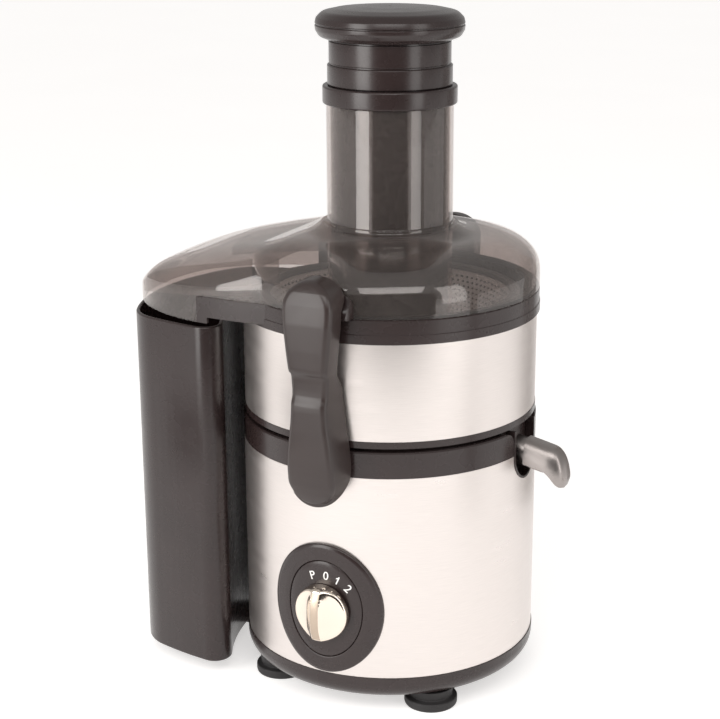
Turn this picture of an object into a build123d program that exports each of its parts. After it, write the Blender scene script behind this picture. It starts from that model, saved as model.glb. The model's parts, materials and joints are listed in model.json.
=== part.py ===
from build123d import *
from math import cos, radians, sin, tan
import os

# Centrifugal juicer, in millimetres. The origin is on the ground at the motor's axis.
# +Z is up, -Y is the front with the speed knob, +X is the juice spout, -X is the pulp bin.

# ---- driving dimensions -------------------------------------------------------------------
# Feet and base pan
FOOT_PITCH = 109.0          # centre to centre, square pattern
FOOT_R = 17.2
FOOT_NECK_R = 14.6
FOOT_BAND_TOP = 6.0
PAN_BOTTOM = 12.5
PAN_TOP = 28.0
PAN_R = 96.5
PAN_FLOOR = 3.0
SHELF_BOTTOM = 5.7          # narrow tongue of the pan that carries the pulp bin
SHELF_TOP = 9.7
SHELF_W = 26.0

# Motor base
BASE_R = 96.0               # outside of the steel shell
STEEL_T = 0.8
STEEL_TOP = 162.0
HOUSING_R = 95.0
HOUSING_WALL = 2.6
DECK_TOP = 178.6
DECK_FLOOR_TOP = 157.0
DECK_FLOOR_T = 3.0
DECK_SCREW_PITCH_R = 84.0   # four screws that fix the deck
DECK_BLOCK_BOTTOM = 141.0   # corner blocks that they go into
NOTCH_HALF_W = 17.5         # U-shaped notch that the spout passes through
NOTCH_BOTTOM = 143.0
NOTCH_CORNER_R = 8.5        # rounding where the notch meets the deck ring's top

# Juice bowl
BOWL_LIP_R = 95.3
BOWL_LIP_BOTTOM = 181.1
BOWL_STEEL_R = 95.0
BOWL_STEEL_BOTTOM = 185.4
BOWL_STEEL_TOP = 246.9
BOWL_WALL_TOP = 247.0
BOWL_RIM_R = 96.8
BOWL_RIM_TOP = 253.0
BOWL_TOP = 260.5
BOWL_RING_TOP = 262.0       # outer ring that the lid stands on
OUTLET_X = -94.5            # far end of the walls beside the pulp outlet
BOWL_INNER_R = 91.0
BOWL_NEST_R = 90.5          # part of the bowl that sits inside the deck ring
BOWL_BOTTOM = 157.3
GUTTER_R = 88.0             # inner radius of the bowl's lower wall

# Lid, chute and pulp channel
LID_R = 96.4
LID_WALL = 2.4
LID_BOTTOM = 262.3
LID_SHOULDER_Z = 272.5
LID_SHOULDER_A = 42.0       # radial half-axis of the rounded shoulder
LID_SHOULDER_B = 25.0       # vertical half-axis of the rounded shoulder
ROOF_Z = 301.0
CHUTE_BORE_R = 37.5         # 75 mm feed chute
CHUTE_R = 40.0
CHUTE_TOP = 377.6
FEED_TUBE_BOTTOM = 216.0
CHANNEL_BOTTOM = 245.0
SIDE_ARC_R = 250.0          # gentle arc of each long side of channel and bin
SIDE_HALF_W = 86.3
SIDE_APEX_X = -66.0
END_X = -170.0              # far end of channel and bin
END_ARC_R = 130.0

# Pulp bin
BIN_BOTTOM = 10.0
BIN_TOP = 241.6
BIN_WALL = 2.5
BIN_INNER_ARC_R = 148.0     # concave wall that faces the body
BIN_INNER_X = -102.0

# Pusher
COLLAR_R = 42.3
COLLAR_TOP = 389.0
STOP_RING_TOP = 401.7
PUSHER_R = 37.1
PUSHER_BOTTOM = 222.0
NECK_TOP = 417.0
CAP_SEAM = 426.0
CAP_TOP = 437.0
CAP_R = 46.7

# Latch arms (front one described, the rear one is its mirror image)
PIVOT_Y = -107.5
PIVOT_Z = 167.0
PIN_R = 2.0
RUNNING_GAP = 0.05
LOBE_TOP_R = 17.5
LOBE_TOP_Z = 271.0
LOBE_LOW_R = 20.0
LOBE_LOW_Z = 165.2
WAIST_HALF_W = 13.5
WAIST_Z = 229.0

# Control panel
PANEL_Z = 73.0
PANEL_A = 37.5
PANEL_B = 43.5
DIAL_A = 25.5
DIAL_B = 32.5
KNOB_Z = 72.0
KNOB_R = 18.0
SCALE_R = 23.5              # radius of the printed marks round the knob
SCALE_TURNS = (-18.6, 4.6, 24.4, 44.0)

# Spout: a straight tube under a hood that ends in a beak
SPOUT_SLOPE = 12.0
SPOUT_X = 101.0
SPOUT_Z = 159.2             # height of its axis at SPOUT_X
SPOUT_TUBE_R = 9.2
SPOUT_HOOD_R = 10.3
SPOUT_T = 1.3
BEAK_X = 108.5              # where the hood starts to bend down
BEAK_BEND_R = 10.6
BEAK_TURN = 68.0

# Motor and basket
SHAFT_R = 4.0
SHAFT_BOTTOM = 34.0
SHAFT_TOP = 188.0
STATOR_R = 44.0
STATOR_BORE_R = 25.3
STATOR_Z = (82.0, 122.0)
BRACKET_Z = 138.0           # underside of the bridge that hangs the motor
BUSH_Z = 141.0
BOSS_Z = 146.0
MOTOR_PITCH_R = 52.0        # four screws that hang the motor from the deck
BEARING_R = 11.0
BEARING_H = 7.0
DISC_Z = 203.0
MESH_R = (48.0, 79.0)
MESH_Z = (204.5, 255.0)

# Gland for the mains lead at the back
GLAND_Z = 45.0
GLAND_BORE_R = 3.6
GLAND_FACE_Y = 99.6
GLAND_LENGTH = 12.6


# ---- helpers ------------------------------------------------------------------------------
def save(builder, name):
    """Label a finished piece and write it to its own file."""
    builder.part.label = name
    export_step(builder.part, f"parts/{name}.step")


def ring(bottom, top, outer, inner):
    """A plain upright ring, standing on the motor's axis."""
    with BuildPart() as piece:
        with BuildSketch(Plane.XY.offset(bottom)):
            Circle(outer)
            if inner > 0:
                Circle(inner, mode=Mode.SUBTRACT)
        extrude(amount=top - bottom)
    return piece


def turned(*points):
    """A solid of revolution about the motor's axis, from (radius, height) points."""
    with BuildPart() as piece:
        with BuildSketch(Plane.XZ):
            with BuildLine():
                Polyline(*points, close=True)
            make_face()
        revolve(axis=Axis.Z)
    return piece


def drum(z):
    """Sketch plane at height z."""
    return Plane.XY.offset(z)


def front(y):
    """Sketch plane square to the Y axis, with sketch x along +X and sketch y along +Z."""
    return Plane(origin=(0, y, 0), x_dir=(1, 0, 0), z_dir=(0, -1, 0))


def side(x):
    """Sketch plane square to the X axis, with sketch x along +Y and sketch y along +Z."""
    return Plane(origin=(x, 0, 0), x_dir=(0, 1, 0), z_dir=(1, 0, 0))


def channel_outline(inset):
    """Long outline shared by the lid's pulp channel and the pulp bin."""
    centre_y = SIDE_ARC_R - SIDE_HALF_W
    with BuildSketch() as outline:
        with Locations((SIDE_APEX_X, centre_y)):
            Circle(SIDE_ARC_R - inset)
        with Locations((SIDE_APEX_X, -centre_y)):
            Circle(SIDE_ARC_R - inset, mode=Mode.INTERSECT)
        with Locations((END_X + END_ARC_R, 0)):
            Circle(END_ARC_R - inset, mode=Mode.INTERSECT)
        with Locations((END_X / 2, 0)):
            Rectangle(-END_X, 4 * SIDE_HALF_W, mode=Mode.INTERSECT)
        far_corners = outline.vertices().filter_by_position(Axis.X, END_X, -120)
        fillet(far_corners, 32 - inset)
    return outline.sketch


def lid_outline(inset):
    """Plan of the lid: the round part and the channel."""
    with BuildSketch() as outline:
        Circle(LID_R - inset)
        add(channel_outline(inset))
    return outline.sketch


def bin_outline(inset):
    """Plan of the pulp bin: the channel's outline, hollowed to sit round the body."""
    with BuildSketch() as outline:
        add(channel_outline(inset))
        with Locations((BIN_INNER_X + BIN_INNER_ARC_R, 0)):
            Circle(BIN_INNER_ARC_R + inset, mode=Mode.SUBTRACT)
        near_corners = outline.vertices().filter_by_position(Axis.X, -90, -60)
        fillet(near_corners, 11 - inset)
    return outline.sketch


# ---- base: pan, feet and shells -----------------------------------------------------------
def make_base_pan():
    """Bottom tray with vents, screw holes and the shelf that carries the pulp bin."""
    with BuildPart() as pan:
        with BuildSketch(Plane.XZ):
            with BuildLine():
                Polyline((0, PAN_BOTTOM), (87.5, PAN_BOTTOM))
                ThreePointArc((87.5, PAN_BOTTOM), (94.2, 16.6), (PAN_R, 23))
                Polyline((PAN_R, 23), (PAN_R, PAN_TOP), (HOUSING_R, PAN_TOP), (HOUSING_R, 33),
                         (92.6, 33), (92.6, 23), (88, PAN_BOTTOM + PAN_FLOOR),
                         (0, PAN_BOTTOM + PAN_FLOOR), (0, PAN_BOTTOM))
            make_face()
        revolve(axis=Axis.Z)
        # Shelf under the pulp bin, with rounded far corners
        with BuildSketch(drum(SHELF_BOTTOM)) as shelf:
            with Locations((-105, 0)):
                Rectangle(92, SHELF_W)
            fillet(shelf.vertices().group_by(Axis.X)[0], 9)
        extrude(amount=SHELF_TOP - SHELF_BOTTOM)
        with BuildSketch(drum(SHELF_BOTTOM)):
            with Locations((-72, 0)):
                Rectangle(30, SHELF_W)
        extrude(amount=PAN_BOTTOM + 1 - SHELF_BOTTOM)
        # Cooling slots round the middle
        with BuildSketch(drum(PAN_BOTTOM - 1)):
            with PolarLocations(34, 18):
                SlotOverall(24, 4)
        extrude(amount=PAN_FLOOR + 2, mode=Mode.SUBTRACT)
        with BuildSketch(drum(5)):
            with GridLocations(FOOT_PITCH, FOOT_PITCH, 2, 2):
                Circle(2.2)
        extrude(amount=20, mode=Mode.SUBTRACT)
    return pan


def make_feet():
    """Four rubber feet, each with a narrower neck and a recess for its screw."""
    with BuildPart() as feet:
        with BuildSketch(drum(0)):
            with GridLocations(FOOT_PITCH, FOOT_PITCH, 2, 2):
                Circle(FOOT_R)
        extrude(amount=FOOT_BAND_TOP)
        rims = feet.edges().filter_by(GeomType.CIRCLE)
        chamfer(rims, 1.2)
        with BuildSketch(drum(FOOT_BAND_TOP)):
            with GridLocations(FOOT_PITCH, FOOT_PITCH, 2, 2):
                Circle(FOOT_NECK_R)
        extrude(amount=PAN_BOTTOM - FOOT_BAND_TOP)
        with BuildSketch(drum(0)):
            with GridLocations(FOOT_PITCH, FOOT_PITCH, 2, 2):
                Circle(5.5)
        extrude(amount=4, mode=Mode.SUBTRACT)
        with BuildSketch(drum(0)):
            with GridLocations(FOOT_PITCH, FOOT_PITCH, 2, 2):
                Circle(2.2)
        extrude(amount=PAN_BOTTOM, mode=Mode.SUBTRACT)
    return feet


def make_foot_screws():
    """Four screws that hold the feet and the pan to the housing."""
    with BuildPart() as screws:
        with BuildSketch(drum(1.4)):
            with GridLocations(FOOT_PITCH, FOOT_PITCH, 2, 2):
                Circle(4.2)
        extrude(amount=2.6)
        with BuildSketch(drum(4)):
            with GridLocations(FOOT_PITCH, FOOT_PITCH, 2, 2):
                Circle(1.9)
        extrude(amount=34)
        with BuildSketch(drum(1.4)):
            with GridLocations(FOOT_PITCH, FOOT_PITCH, 2, 2):
                Rectangle(5, 1)
                Rectangle(1, 5)
        extrude(amount=1.2, mode=Mode.SUBTRACT)
    return screws


def notch_space(half_width, bottom):
    """U-shaped space that the spout passes through on the +X side."""
    with BuildPart() as space:
        with BuildSketch(side(70)):
            with Locations((0, bottom + half_width)):
                Circle(half_width)
            with Locations((0, bottom + half_width + 30)):
                Rectangle(2 * half_width, 60)
        extrude(amount=40)
    return space.part


def panel_window(a, b):
    """Oval space through the front wall."""
    with BuildPart() as space:
        with BuildSketch(front(-80)):
            with Locations((0, PANEL_Z)):
                Ellipse(a, b)
        extrude(amount=30)
    return space.part


def gland_hole(radius):
    """Round space through the back wall for the lead's gland."""
    with BuildPart() as space:
        with BuildSketch(front(110)):
            with Locations((0, GLAND_Z)):
                Circle(radius)
        extrude(amount=40)
    return space.part


def make_base_steel_shell():
    """Brushed steel sleeve of the motor base."""
    with BuildPart() as shell:
        with BuildSketch(drum(PAN_TOP + 0.2)):
            Circle(BASE_R)
            Circle(BASE_R - STEEL_T, mode=Mode.SUBTRACT)
        extrude(amount=STEEL_TOP - PAN_TOP - 0.2)
        add(notch_space(NOTCH_HALF_W, NOTCH_BOTTOM), mode=Mode.SUBTRACT)
        add(panel_window(DIAL_A, DIAL_B), mode=Mode.SUBTRACT)
        add(gland_hole(7.2), mode=Mode.SUBTRACT)
    return shell


def make_base_housing():
    """Moulded inner wall of the base, with four screw pillars and the board's rails."""
    wall_inner = HOUSING_R - HOUSING_WALL
    with BuildPart() as housing:
        with BuildSketch(drum(33.2)):
            Circle(HOUSING_R)
            Circle(wall_inner, mode=Mode.SUBTRACT)
        extrude(amount=DECK_FLOOR_TOP - DECK_FLOOR_T - 33.4)
        # Screw pillars over the feet, tied to the wall by webs
        with BuildSketch(drum(PAN_BOTTOM + PAN_FLOOR + 0.1)):
            with GridLocations(FOOT_PITCH, FOOT_PITCH, 2, 2):
                Circle(6)
        extrude(amount=50)
        with BuildSketch(drum(33.2)):
            for angle in (45, 135, 225, 315):
                with Locations(Location((0, 0, 0), (0, 0, angle))):
                    with Locations((87, 0)):
                        Rectangle(12.5, 3)
        extrude(amount=32)
        # Corner blocks that take the deck's screws
        with BuildSketch(drum(DECK_BLOCK_BOTTOM)):
            with PolarLocations(87.5, 4, start_angle=22.5):
                Rectangle(13, 12)
        extrude(amount=DECK_FLOOR_TOP - DECK_FLOOR_T - DECK_BLOCK_BOTTOM - 0.2)
        with BuildSketch(drum(DECK_BLOCK_BOTTOM - 1)):
            with PolarLocations(DECK_SCREW_PITCH_R, 4, start_angle=22.5):
                Circle(2.1)
        extrude(amount=20, mode=Mode.SUBTRACT)
        # Two rails that hold the speed control board
        with BuildSketch(drum(66)):
            with Locations((-78.5, 32.5), (-78.5, -32.5)):
                Rectangle(20, 5)
        extrude(amount=58)
        with BuildSketch(drum(66)):
            with Locations((-75.2, 0)):
                Rectangle(1.9, 62)
        extrude(amount=58, mode=Mode.SUBTRACT)
        with BuildSketch(drum(PAN_BOTTOM)):
            with GridLocations(FOOT_PITCH, FOOT_PITCH, 2, 2):
                Circle(2.0)
        extrude(amount=30, mode=Mode.SUBTRACT)
        add(notch_space(NOTCH_HALF_W, NOTCH_BOTTOM), mode=Mode.SUBTRACT)
        add(panel_window(21, 28), mode=Mode.SUBTRACT)
        add(gland_hole(7.2), mode=Mode.SUBTRACT)
    return housing


def make_base_deck():
    """Top of the base: ring, floor, seal seat, motor bosses and the two hinge bosses."""
    floor_bottom = DECK_FLOOR_TOP - DECK_FLOOR_T
    with BuildPart() as deck:
        with BuildSketch(Plane.XZ):
            with BuildLine():
                Polyline((12, 149), (19, 149), (19, floor_bottom), (HOUSING_R, floor_bottom),
                         (HOUSING_R, STEEL_TOP + 0.2), (BASE_R, STEEL_TOP + 0.2),
                         (BASE_R, DECK_TOP - 0.8), (BASE_R - 0.8, DECK_TOP), (92.6, DECK_TOP),
                         (92.6, DECK_FLOOR_TOP), (19, DECK_FLOOR_TOP), (15, 164), (12, 164),
                         close=True)
            make_face()
        revolve(axis=Axis.Z)
        # Bosses that carry the motor on its rubber bushes
        with BuildSketch(drum(BOSS_Z)):
            with PolarLocations(MOTOR_PITCH_R, 4, start_angle=45):
                Circle(6)
        extrude(amount=floor_bottom - BOSS_Z + 0.5)
        with BuildSketch(drum(BOSS_Z)):
            with PolarLocations(MOTOR_PITCH_R, 4, start_angle=45):
                Circle(2.0)
        extrude(amount=8, mode=Mode.SUBTRACT)
        # Screw holes through the floor
        with BuildSketch(drum(floor_bottom - 1)):
            with PolarLocations(DECK_SCREW_PITCH_R, 4, start_angle=22.5):
                Circle(2.1)
        extrude(amount=DECK_FLOOR_T + 2, mode=Mode.SUBTRACT)
        # Hinge bosses in front and at the back
        with BuildSketch(side(-7.5)):
            for sign in (-1, 1):
                with Locations((sign * 100.8, PIVOT_Z)):
                    Rectangle(13.4, 9.2)
                with Locations((-sign * PIVOT_Y, PIVOT_Z)):
                    Circle(4.6)
        extrude(amount=15)
        with BuildSketch(side(-8)):
            with Locations((PIVOT_Y, PIVOT_Z), (-PIVOT_Y, PIVOT_Z)):
                Circle(PIN_R)
        extrude(amount=16, mode=Mode.SUBTRACT)
        add(notch_space(NOTCH_HALF_W, NOTCH_BOTTOM), mode=Mode.SUBTRACT)
        corner = NOTCH_CORNER_R
        with BuildSketch(side(88)):
            for sign in (-1, 1):
                with Locations((sign * (NOTCH_HALF_W + corner / 2), DECK_TOP - corner / 2)):
                    Rectangle(corner, corner)
                with Locations((sign * (NOTCH_HALF_W + corner), DECK_TOP - corner)):
                    Circle(corner, mode=Mode.SUBTRACT)
        extrude(amount=12, mode=Mode.SUBTRACT)
    return deck


def make_spout_pocket():
    """Black liner of the spout notch, closed towards the motor."""
    wall = 1.5
    with BuildPart() as pocket:
        with BuildSketch(side(86)):
            with Locations((0, NOTCH_BOTTOM + NOTCH_HALF_W)):
                Circle(NOTCH_HALF_W - 0.1)
            with Locations((0, NOTCH_BOTTOM + NOTCH_HALF_W + 9)):
                Rectangle(2 * NOTCH_HALF_W - 0.2, 18)
        extrude(amount=14)
        with BuildSketch(side(86 + wall)):
            with Locations((0, NOTCH_BOTTOM + NOTCH_HALF_W)):
                Circle(NOTCH_HALF_W - wall)
            with Locations((0, NOTCH_BOTTOM + NOTCH_HALF_W + 9)):
                Rectangle(2 * (NOTCH_HALF_W - wall), 18)
        extrude(amount=14, mode=Mode.SUBTRACT)
        with BuildSketch(drum(NOTCH_BOTTOM - 5)):
            Circle(BASE_R + 0.5)
        extrude(amount=60, mode=Mode.INTERSECT)
        with BuildSketch(spout_plane(80)):
            Circle(SPOUT_TUBE_R + 0.1)
        extrude(amount=12, mode=Mode.SUBTRACT)
        # Room for the bowl's lower wall above the deck floor
        with BuildSketch(drum(DECK_FLOOR_TOP)):
            Circle(BOWL_NEST_R + 0.3)
        extrude(amount=40, mode=Mode.SUBTRACT)
    return pocket


def make_cord_gland():
    """Rubber gland in the back wall, bored for the mains lead."""
    wall_inner = HOUSING_R - HOUSING_WALL
    with BuildPart() as gland:
        # A flange on each side of the curved wall
        with BuildSketch(front(GLAND_FACE_Y)):
            with Locations((0, GLAND_Z)):
                Circle(10.5)
        extrude(amount=GLAND_LENGTH)
        chamfer(gland.faces().sort_by(Axis.Y)[-1].edges(), 1.2)
        add(ring(GLAND_Z - 12, GLAND_Z + 12, BASE_R + 0.1, wall_inner - 0.1).part,
            mode=Mode.SUBTRACT)
        # The neck between them, and the bore
        with BuildSketch(front(GLAND_FACE_Y)):
            with Locations((0, GLAND_Z)):
                Circle(7.1)
        extrude(amount=GLAND_LENGTH)
        with BuildSketch(front(GLAND_FACE_Y + 10)):
            with Locations((0, GLAND_Z)):
                Circle(GLAND_BORE_R)
        extrude(amount=GLAND_LENGTH + 20, mode=Mode.SUBTRACT)
    return gland


def make_deck_screws():
    """Four screws that fix the deck to the housing's corner blocks."""
    with BuildPart() as screws:
        with BuildSketch(drum(DECK_BLOCK_BOTTOM)):
            with PolarLocations(DECK_SCREW_PITCH_R, 4, start_angle=22.5):
                Circle(2.0)
        extrude(amount=DECK_FLOOR_TOP - DECK_BLOCK_BOTTOM)
        with BuildSketch(drum(DECK_BLOCK_BOTTOM)):
            with PolarLocations(DECK_SCREW_PITCH_R, 4, start_angle=22.5):
                Circle(3.8)
        extrude(amount=-2.2)
    return screws


# ---- control panel ------------------------------------------------------------------------
def wrapped_oval(a, b, outer, inner):
    """Oval plate that follows the round wall at the front."""
    with BuildPart() as plate:
        with BuildSketch(drum(PANEL_Z - 50)):
            Circle(outer)
            Circle(inner, mode=Mode.SUBTRACT)
        extrude(amount=100)
        with BuildSketch(front(-60)):
            with Locations((0, PANEL_Z)):
                Ellipse(a, b)
        extrude(amount=50, mode=Mode.INTERSECT)
    return plate


def make_panel_bezel():
    """Outer oval frame of the control panel."""
    with BuildPart() as bezel:
        add(wrapped_oval(PANEL_A, PANEL_B, 99.0, BASE_R + 0.05).part)
        outer_face = bezel.faces().sort_by(Axis.Y)[0]
        chamfer(outer_face.edges(), 1.1)
        add(panel_window(DIAL_A, DIAL_B), mode=Mode.SUBTRACT)
    return bezel


def make_dial_plate():
    """Inner oval plate that the scale is printed on."""
    with BuildPart() as plate:
        add(wrapped_oval(DIAL_A - 0.25, DIAL_B - 0.25, 98.7, HOUSING_R + 0.05).part)
        with BuildSketch(front(-80)):
            with Locations((0, KNOB_Z)):
                Circle(5.2)
        extrude(amount=30, mode=Mode.SUBTRACT)
    return plate


def make_dial_scale():
    """Printed marks on the dial plate, one for each position of the knob."""
    face = 98.7
    with BuildPart() as scale:
        with BuildSketch(drum(KNOB_Z)):
            Circle(face + 0.15)
            Circle(face, mode=Mode.SUBTRACT)
        extrude(amount=SCALE_R + 3)
        with BuildSketch(front(-60)):
            for turn in SCALE_TURNS:
                across = SCALE_R * sin(radians(turn))
                with Locations((across, KNOB_Z + SCALE_R * cos(radians(turn)))):
                    Circle(2.2)
        extrude(amount=50, mode=Mode.INTERSECT)
    return scale


def make_rotary_switch():
    """Speed switch with its threaded bushing, behind the dial plate."""
    with BuildPart() as switch:
        with BuildSketch(front(-70)):
            with Locations((0, KNOB_Z)):
                RectangleRounded(32, 32, 3)
        extrude(amount=19)
        with BuildSketch(front(-89)):
            with Locations((0, KNOB_Z)):
                Circle(5.0)
        extrude(amount=10)
        # Row of terminals at the back
        with BuildSketch(front(-62)):
            with Locations((-9, KNOB_Z), (-3, KNOB_Z), (3, KNOB_Z), (9, KNOB_Z)):
                Rectangle(0.8, 6)
        extrude(amount=8)
        with BuildSketch(front(-72)):
            with Locations((0, KNOB_Z)):
                Circle(3.0 + RUNNING_GAP)
        extrude(amount=30, mode=Mode.SUBTRACT)
    return switch


def make_switch_nut():
    """Thin hexagon nut that holds the switch to the wall."""
    with BuildPart() as nut:
        with BuildSketch(front(-89.2)):
            with Locations((0, KNOB_Z)):
                RegularPolygon(8, 6)
                Circle(5.05, mode=Mode.SUBTRACT)
        extrude(amount=2.6)
    return nut


def make_selector_knob():
    """Round speed knob with a raised grip bar."""
    with BuildPart() as knob:
        with BuildSketch(front(-99.4)):
            with Locations((0, KNOB_Z)):
                Circle(KNOB_R)
        extrude(amount=4.6)
        chamfer(knob.faces().sort_by(Axis.Y)[0].edges(), 1.4)
        with BuildSketch(front(-103.9)):
            with Locations((0, KNOB_Z)):
                RectangleRounded(10.5, 34, 4)
        extrude(amount=8.4)
        chamfer(knob.faces().sort_by(Axis.Y)[0].edges(), 1.6)
        with BuildSketch(front(-99)):
            with Locations((0, KNOB_Z)):
                Circle(3.0)
        extrude(amount=8, mode=Mode.SUBTRACT)
    return knob


def make_switch_shaft():
    """Shaft of the speed switch, pressed into the knob."""
    with BuildPart() as shaft:
        with BuildSketch(front(-73)):
            with Locations((0, KNOB_Z)):
                Circle(3.0)
        extrude(amount=34)
    return shaft


# ---- motor --------------------------------------------------------------------------------
def coil_sector(inner, outer, half_angle):
    """Sketch of the two opposite ring sectors that the field coils fill."""
    with BuildSketch() as sectors:
        Circle(outer)
        Circle(inner, mode=Mode.SUBTRACT)
        spread = 2 * outer * tan(radians(half_angle))
        with BuildSketch(mode=Mode.PRIVATE) as wedge:
            with BuildLine():
                Polyline((0, 0), (outer, spread / 2), (outer + 1, spread / 2),
                         (outer + 1, -spread / 2), (outer, -spread / 2), (0, 0))
            make_face()
            mirror(about=Plane.YZ)
        add(wedge.sketch, mode=Mode.INTERSECT)
    return sectors.sketch


def make_motor_stator():
    """Laminated field stack with windows for the two coils."""
    with BuildPart() as stator:
        with BuildSketch(drum(STATOR_Z[0])):
            Circle(STATOR_R)
            Circle(STATOR_BORE_R, mode=Mode.SUBTRACT)
            add(coil_sector(28.8, 38.2, 42), mode=Mode.SUBTRACT)
            with PolarLocations(STATOR_R, 4, start_angle=0):
                Rectangle(2, 8, mode=Mode.SUBTRACT)
        extrude(amount=STATOR_Z[1] - STATOR_Z[0])
    return stator


def make_field_coils():
    """Two field coils that stand above and below the stack."""
    with BuildPart() as coils:
        with BuildSketch(drum(STATOR_Z[0] - 7)):
            add(coil_sector(29.0, 38.0, 41))
        extrude(amount=STATOR_Z[1] - STATOR_Z[0] + 14)
    return coils


def make_armature_core():
    """Laminated rotor core with twelve slots."""
    with BuildPart() as core:
        with BuildSketch(drum(STATOR_Z[0])):
            Circle(24.8)
            Circle(SHAFT_R, mode=Mode.SUBTRACT)
            with PolarLocations(20.5, 12):
                Circle(2.4, mode=Mode.SUBTRACT)
            with PolarLocations(23.5, 12):
                Rectangle(4, 1.2, mode=Mode.SUBTRACT)
        extrude(amount=STATOR_Z[1] - STATOR_Z[0])
    return core


def make_armature_winding():
    """Copper winding: a head above, a head below and a bar in every slot."""
    low, high = STATOR_Z
    with BuildPart() as winding:
        with BuildSketch(Plane.XZ):
            with BuildLine():
                Polyline((9, low - 8), (17, low - 8), (22.5, low - 4), (22.5, low), (9, low),
                         close=True)
            make_face()
            with BuildLine():
                Polyline((9, high), (22.5, high), (22.5, high + 4), (17, high + 7),
                         (9, high + 7), close=True)
            make_face()
        revolve(axis=Axis.Z)
        with BuildSketch(drum(low - 1)):
            with PolarLocations(20.5, 12):
                Circle(2.3)
        extrude(amount=high - low + 2)
    return winding


def make_commutator():
    """Copper commutator with its segment slits."""
    with BuildPart() as commutator:
        with BuildSketch(drum(55)):
            Circle(13)
            Circle(SHAFT_R, mode=Mode.SUBTRACT)
            with PolarLocations(13, 24):
                Rectangle(2.4, 0.6, mode=Mode.SUBTRACT)
        extrude(amount=16)
    return commutator


def make_motor_shaft():
    """Steel shaft from the lower bearing to the drive coupling."""
    with BuildPart() as shaft:
        with BuildSketch(drum(SHAFT_BOTTOM)):
            Circle(SHAFT_R)
        extrude(amount=SHAFT_TOP - SHAFT_BOTTOM)
        chamfer(shaft.edges().filter_by(GeomType.CIRCLE), 0.6)
    return shaft


def make_cooling_fan():
    """Fan above the stack: a hub, a disc and nine blades."""
    with BuildPart() as fan:
        with BuildSketch(drum(130)):
            Circle(10)
        extrude(amount=6.5)
        with BuildSketch(drum(130)):
            Circle(37.5)
        extrude(amount=1.2)
        with BuildSketch(drum(131)):
            with PolarLocations(23, 9):
                Rectangle(28, 1.2, rotation=24)
        extrude(amount=5.5)
        with BuildSketch(drum(130)):
            Circle(SHAFT_R)
        extrude(amount=8, mode=Mode.SUBTRACT)
    return fan


def make_bearing(bottom):
    """Ball bearing, drawn as one ring with a groove between its races."""
    with BuildPart() as bearing:
        with BuildSketch(drum(bottom)):
            Circle(BEARING_R)
            Circle(SHAFT_R + 0.02, mode=Mode.SUBTRACT)
        extrude(amount=BEARING_H)
        for z, depth in ((bottom, 0.6), (bottom + BEARING_H, -0.6)):
            with BuildSketch(drum(z)):
                Circle(8.8)
                Circle(6.4, mode=Mode.SUBTRACT)
            extrude(amount=depth, mode=Mode.SUBTRACT)
    return bearing


def make_upper_bracket():
    """Bridge above the stack, with the upper bearing's cup and four legs."""
    with BuildPart() as bracket:
        with BuildSketch(drum(BRACKET_Z)):
            Circle(24)
            for angle in (45, 135):
                Rectangle(118, 15, rotation=angle)
        extrude(amount=3)
        with BuildSketch(drum(BRACKET_Z)):
            Circle(14)
        extrude(amount=10)
        with BuildSketch(drum(STATOR_Z[1])):
            with PolarLocations(42, 4, start_angle=45):
                Rectangle(4, 12)
        extrude(amount=17)
        with BuildSketch(drum(140)):
            Circle(BEARING_R)
        extrude(amount=10, mode=Mode.SUBTRACT)
        with BuildSketch(drum(BRACKET_Z - 1)):
            Circle(6)
            with PolarLocations(MOTOR_PITCH_R, 4, start_angle=45):
                Circle(2.0)
        extrude(amount=6, mode=Mode.SUBTRACT)
    return bracket


def make_lower_bracket():
    """Bridge below the stack, with the lower bearing's cup and four legs."""
    with BuildPart() as bracket:
        with BuildSketch(drum(44)):
            Circle(20)
            for angle in (45, 135):
                Rectangle(88, 12, rotation=angle)
            Rectangle(13, 64)
        extrude(amount=4)
        with BuildSketch(drum(38)):
            Circle(14)
        extrude(amount=10)
        with BuildSketch(drum(44)):
            with PolarLocations(42, 4, start_angle=45):
                Rectangle(4, 12)
        extrude(amount=STATOR_Z[0] - 44)
        # Posts under the brush holders
        with BuildSketch(drum(44)):
            with Locations((0, 25), (0, -25)):
                Rectangle(8, 10)
        extrude(amount=13.5)
        with BuildSketch(drum(40)):
            Circle(BEARING_R)
        extrude(amount=10, mode=Mode.SUBTRACT)
        with BuildSketch(drum(36)):
            Circle(6)
        extrude(amount=6, mode=Mode.SUBTRACT)
    return bracket


def make_brush_holders():
    """Two brass tubes that guide the carbon brushes."""
    with BuildPart() as holders:
        with BuildSketch(side(-5.5)):
            with Locations((26, 62.5), (-26, 62.5)):
                Rectangle(22, 10)
        extrude(amount=11)
        with BuildSketch(side(-4.1)):
            with Locations((24, 62.5), (-24, 62.5)):
                Rectangle(23, 7.2)
        extrude(amount=8.2, mode=Mode.SUBTRACT)
    return holders


def make_carbon_brushes():
    """Two carbon brushes, just clear of the commutator."""
    with BuildPart() as brushes:
        with BuildSketch(side(-4)):
            with Locations((22.2, 62.5), (-22.2, 62.5)):
                Rectangle(18, 7)
        extrude(amount=8)
    return brushes


def make_motor_bushes():
    """Four rubber bushes between the motor and the deck."""
    with BuildPart() as bushes:
        with BuildSketch(drum(BUSH_Z)):
            with PolarLocations(MOTOR_PITCH_R, 4, start_angle=45):
                Circle(6.5)
                Circle(2.1, mode=Mode.SUBTRACT)
        extrude(amount=5)
    return bushes


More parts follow.
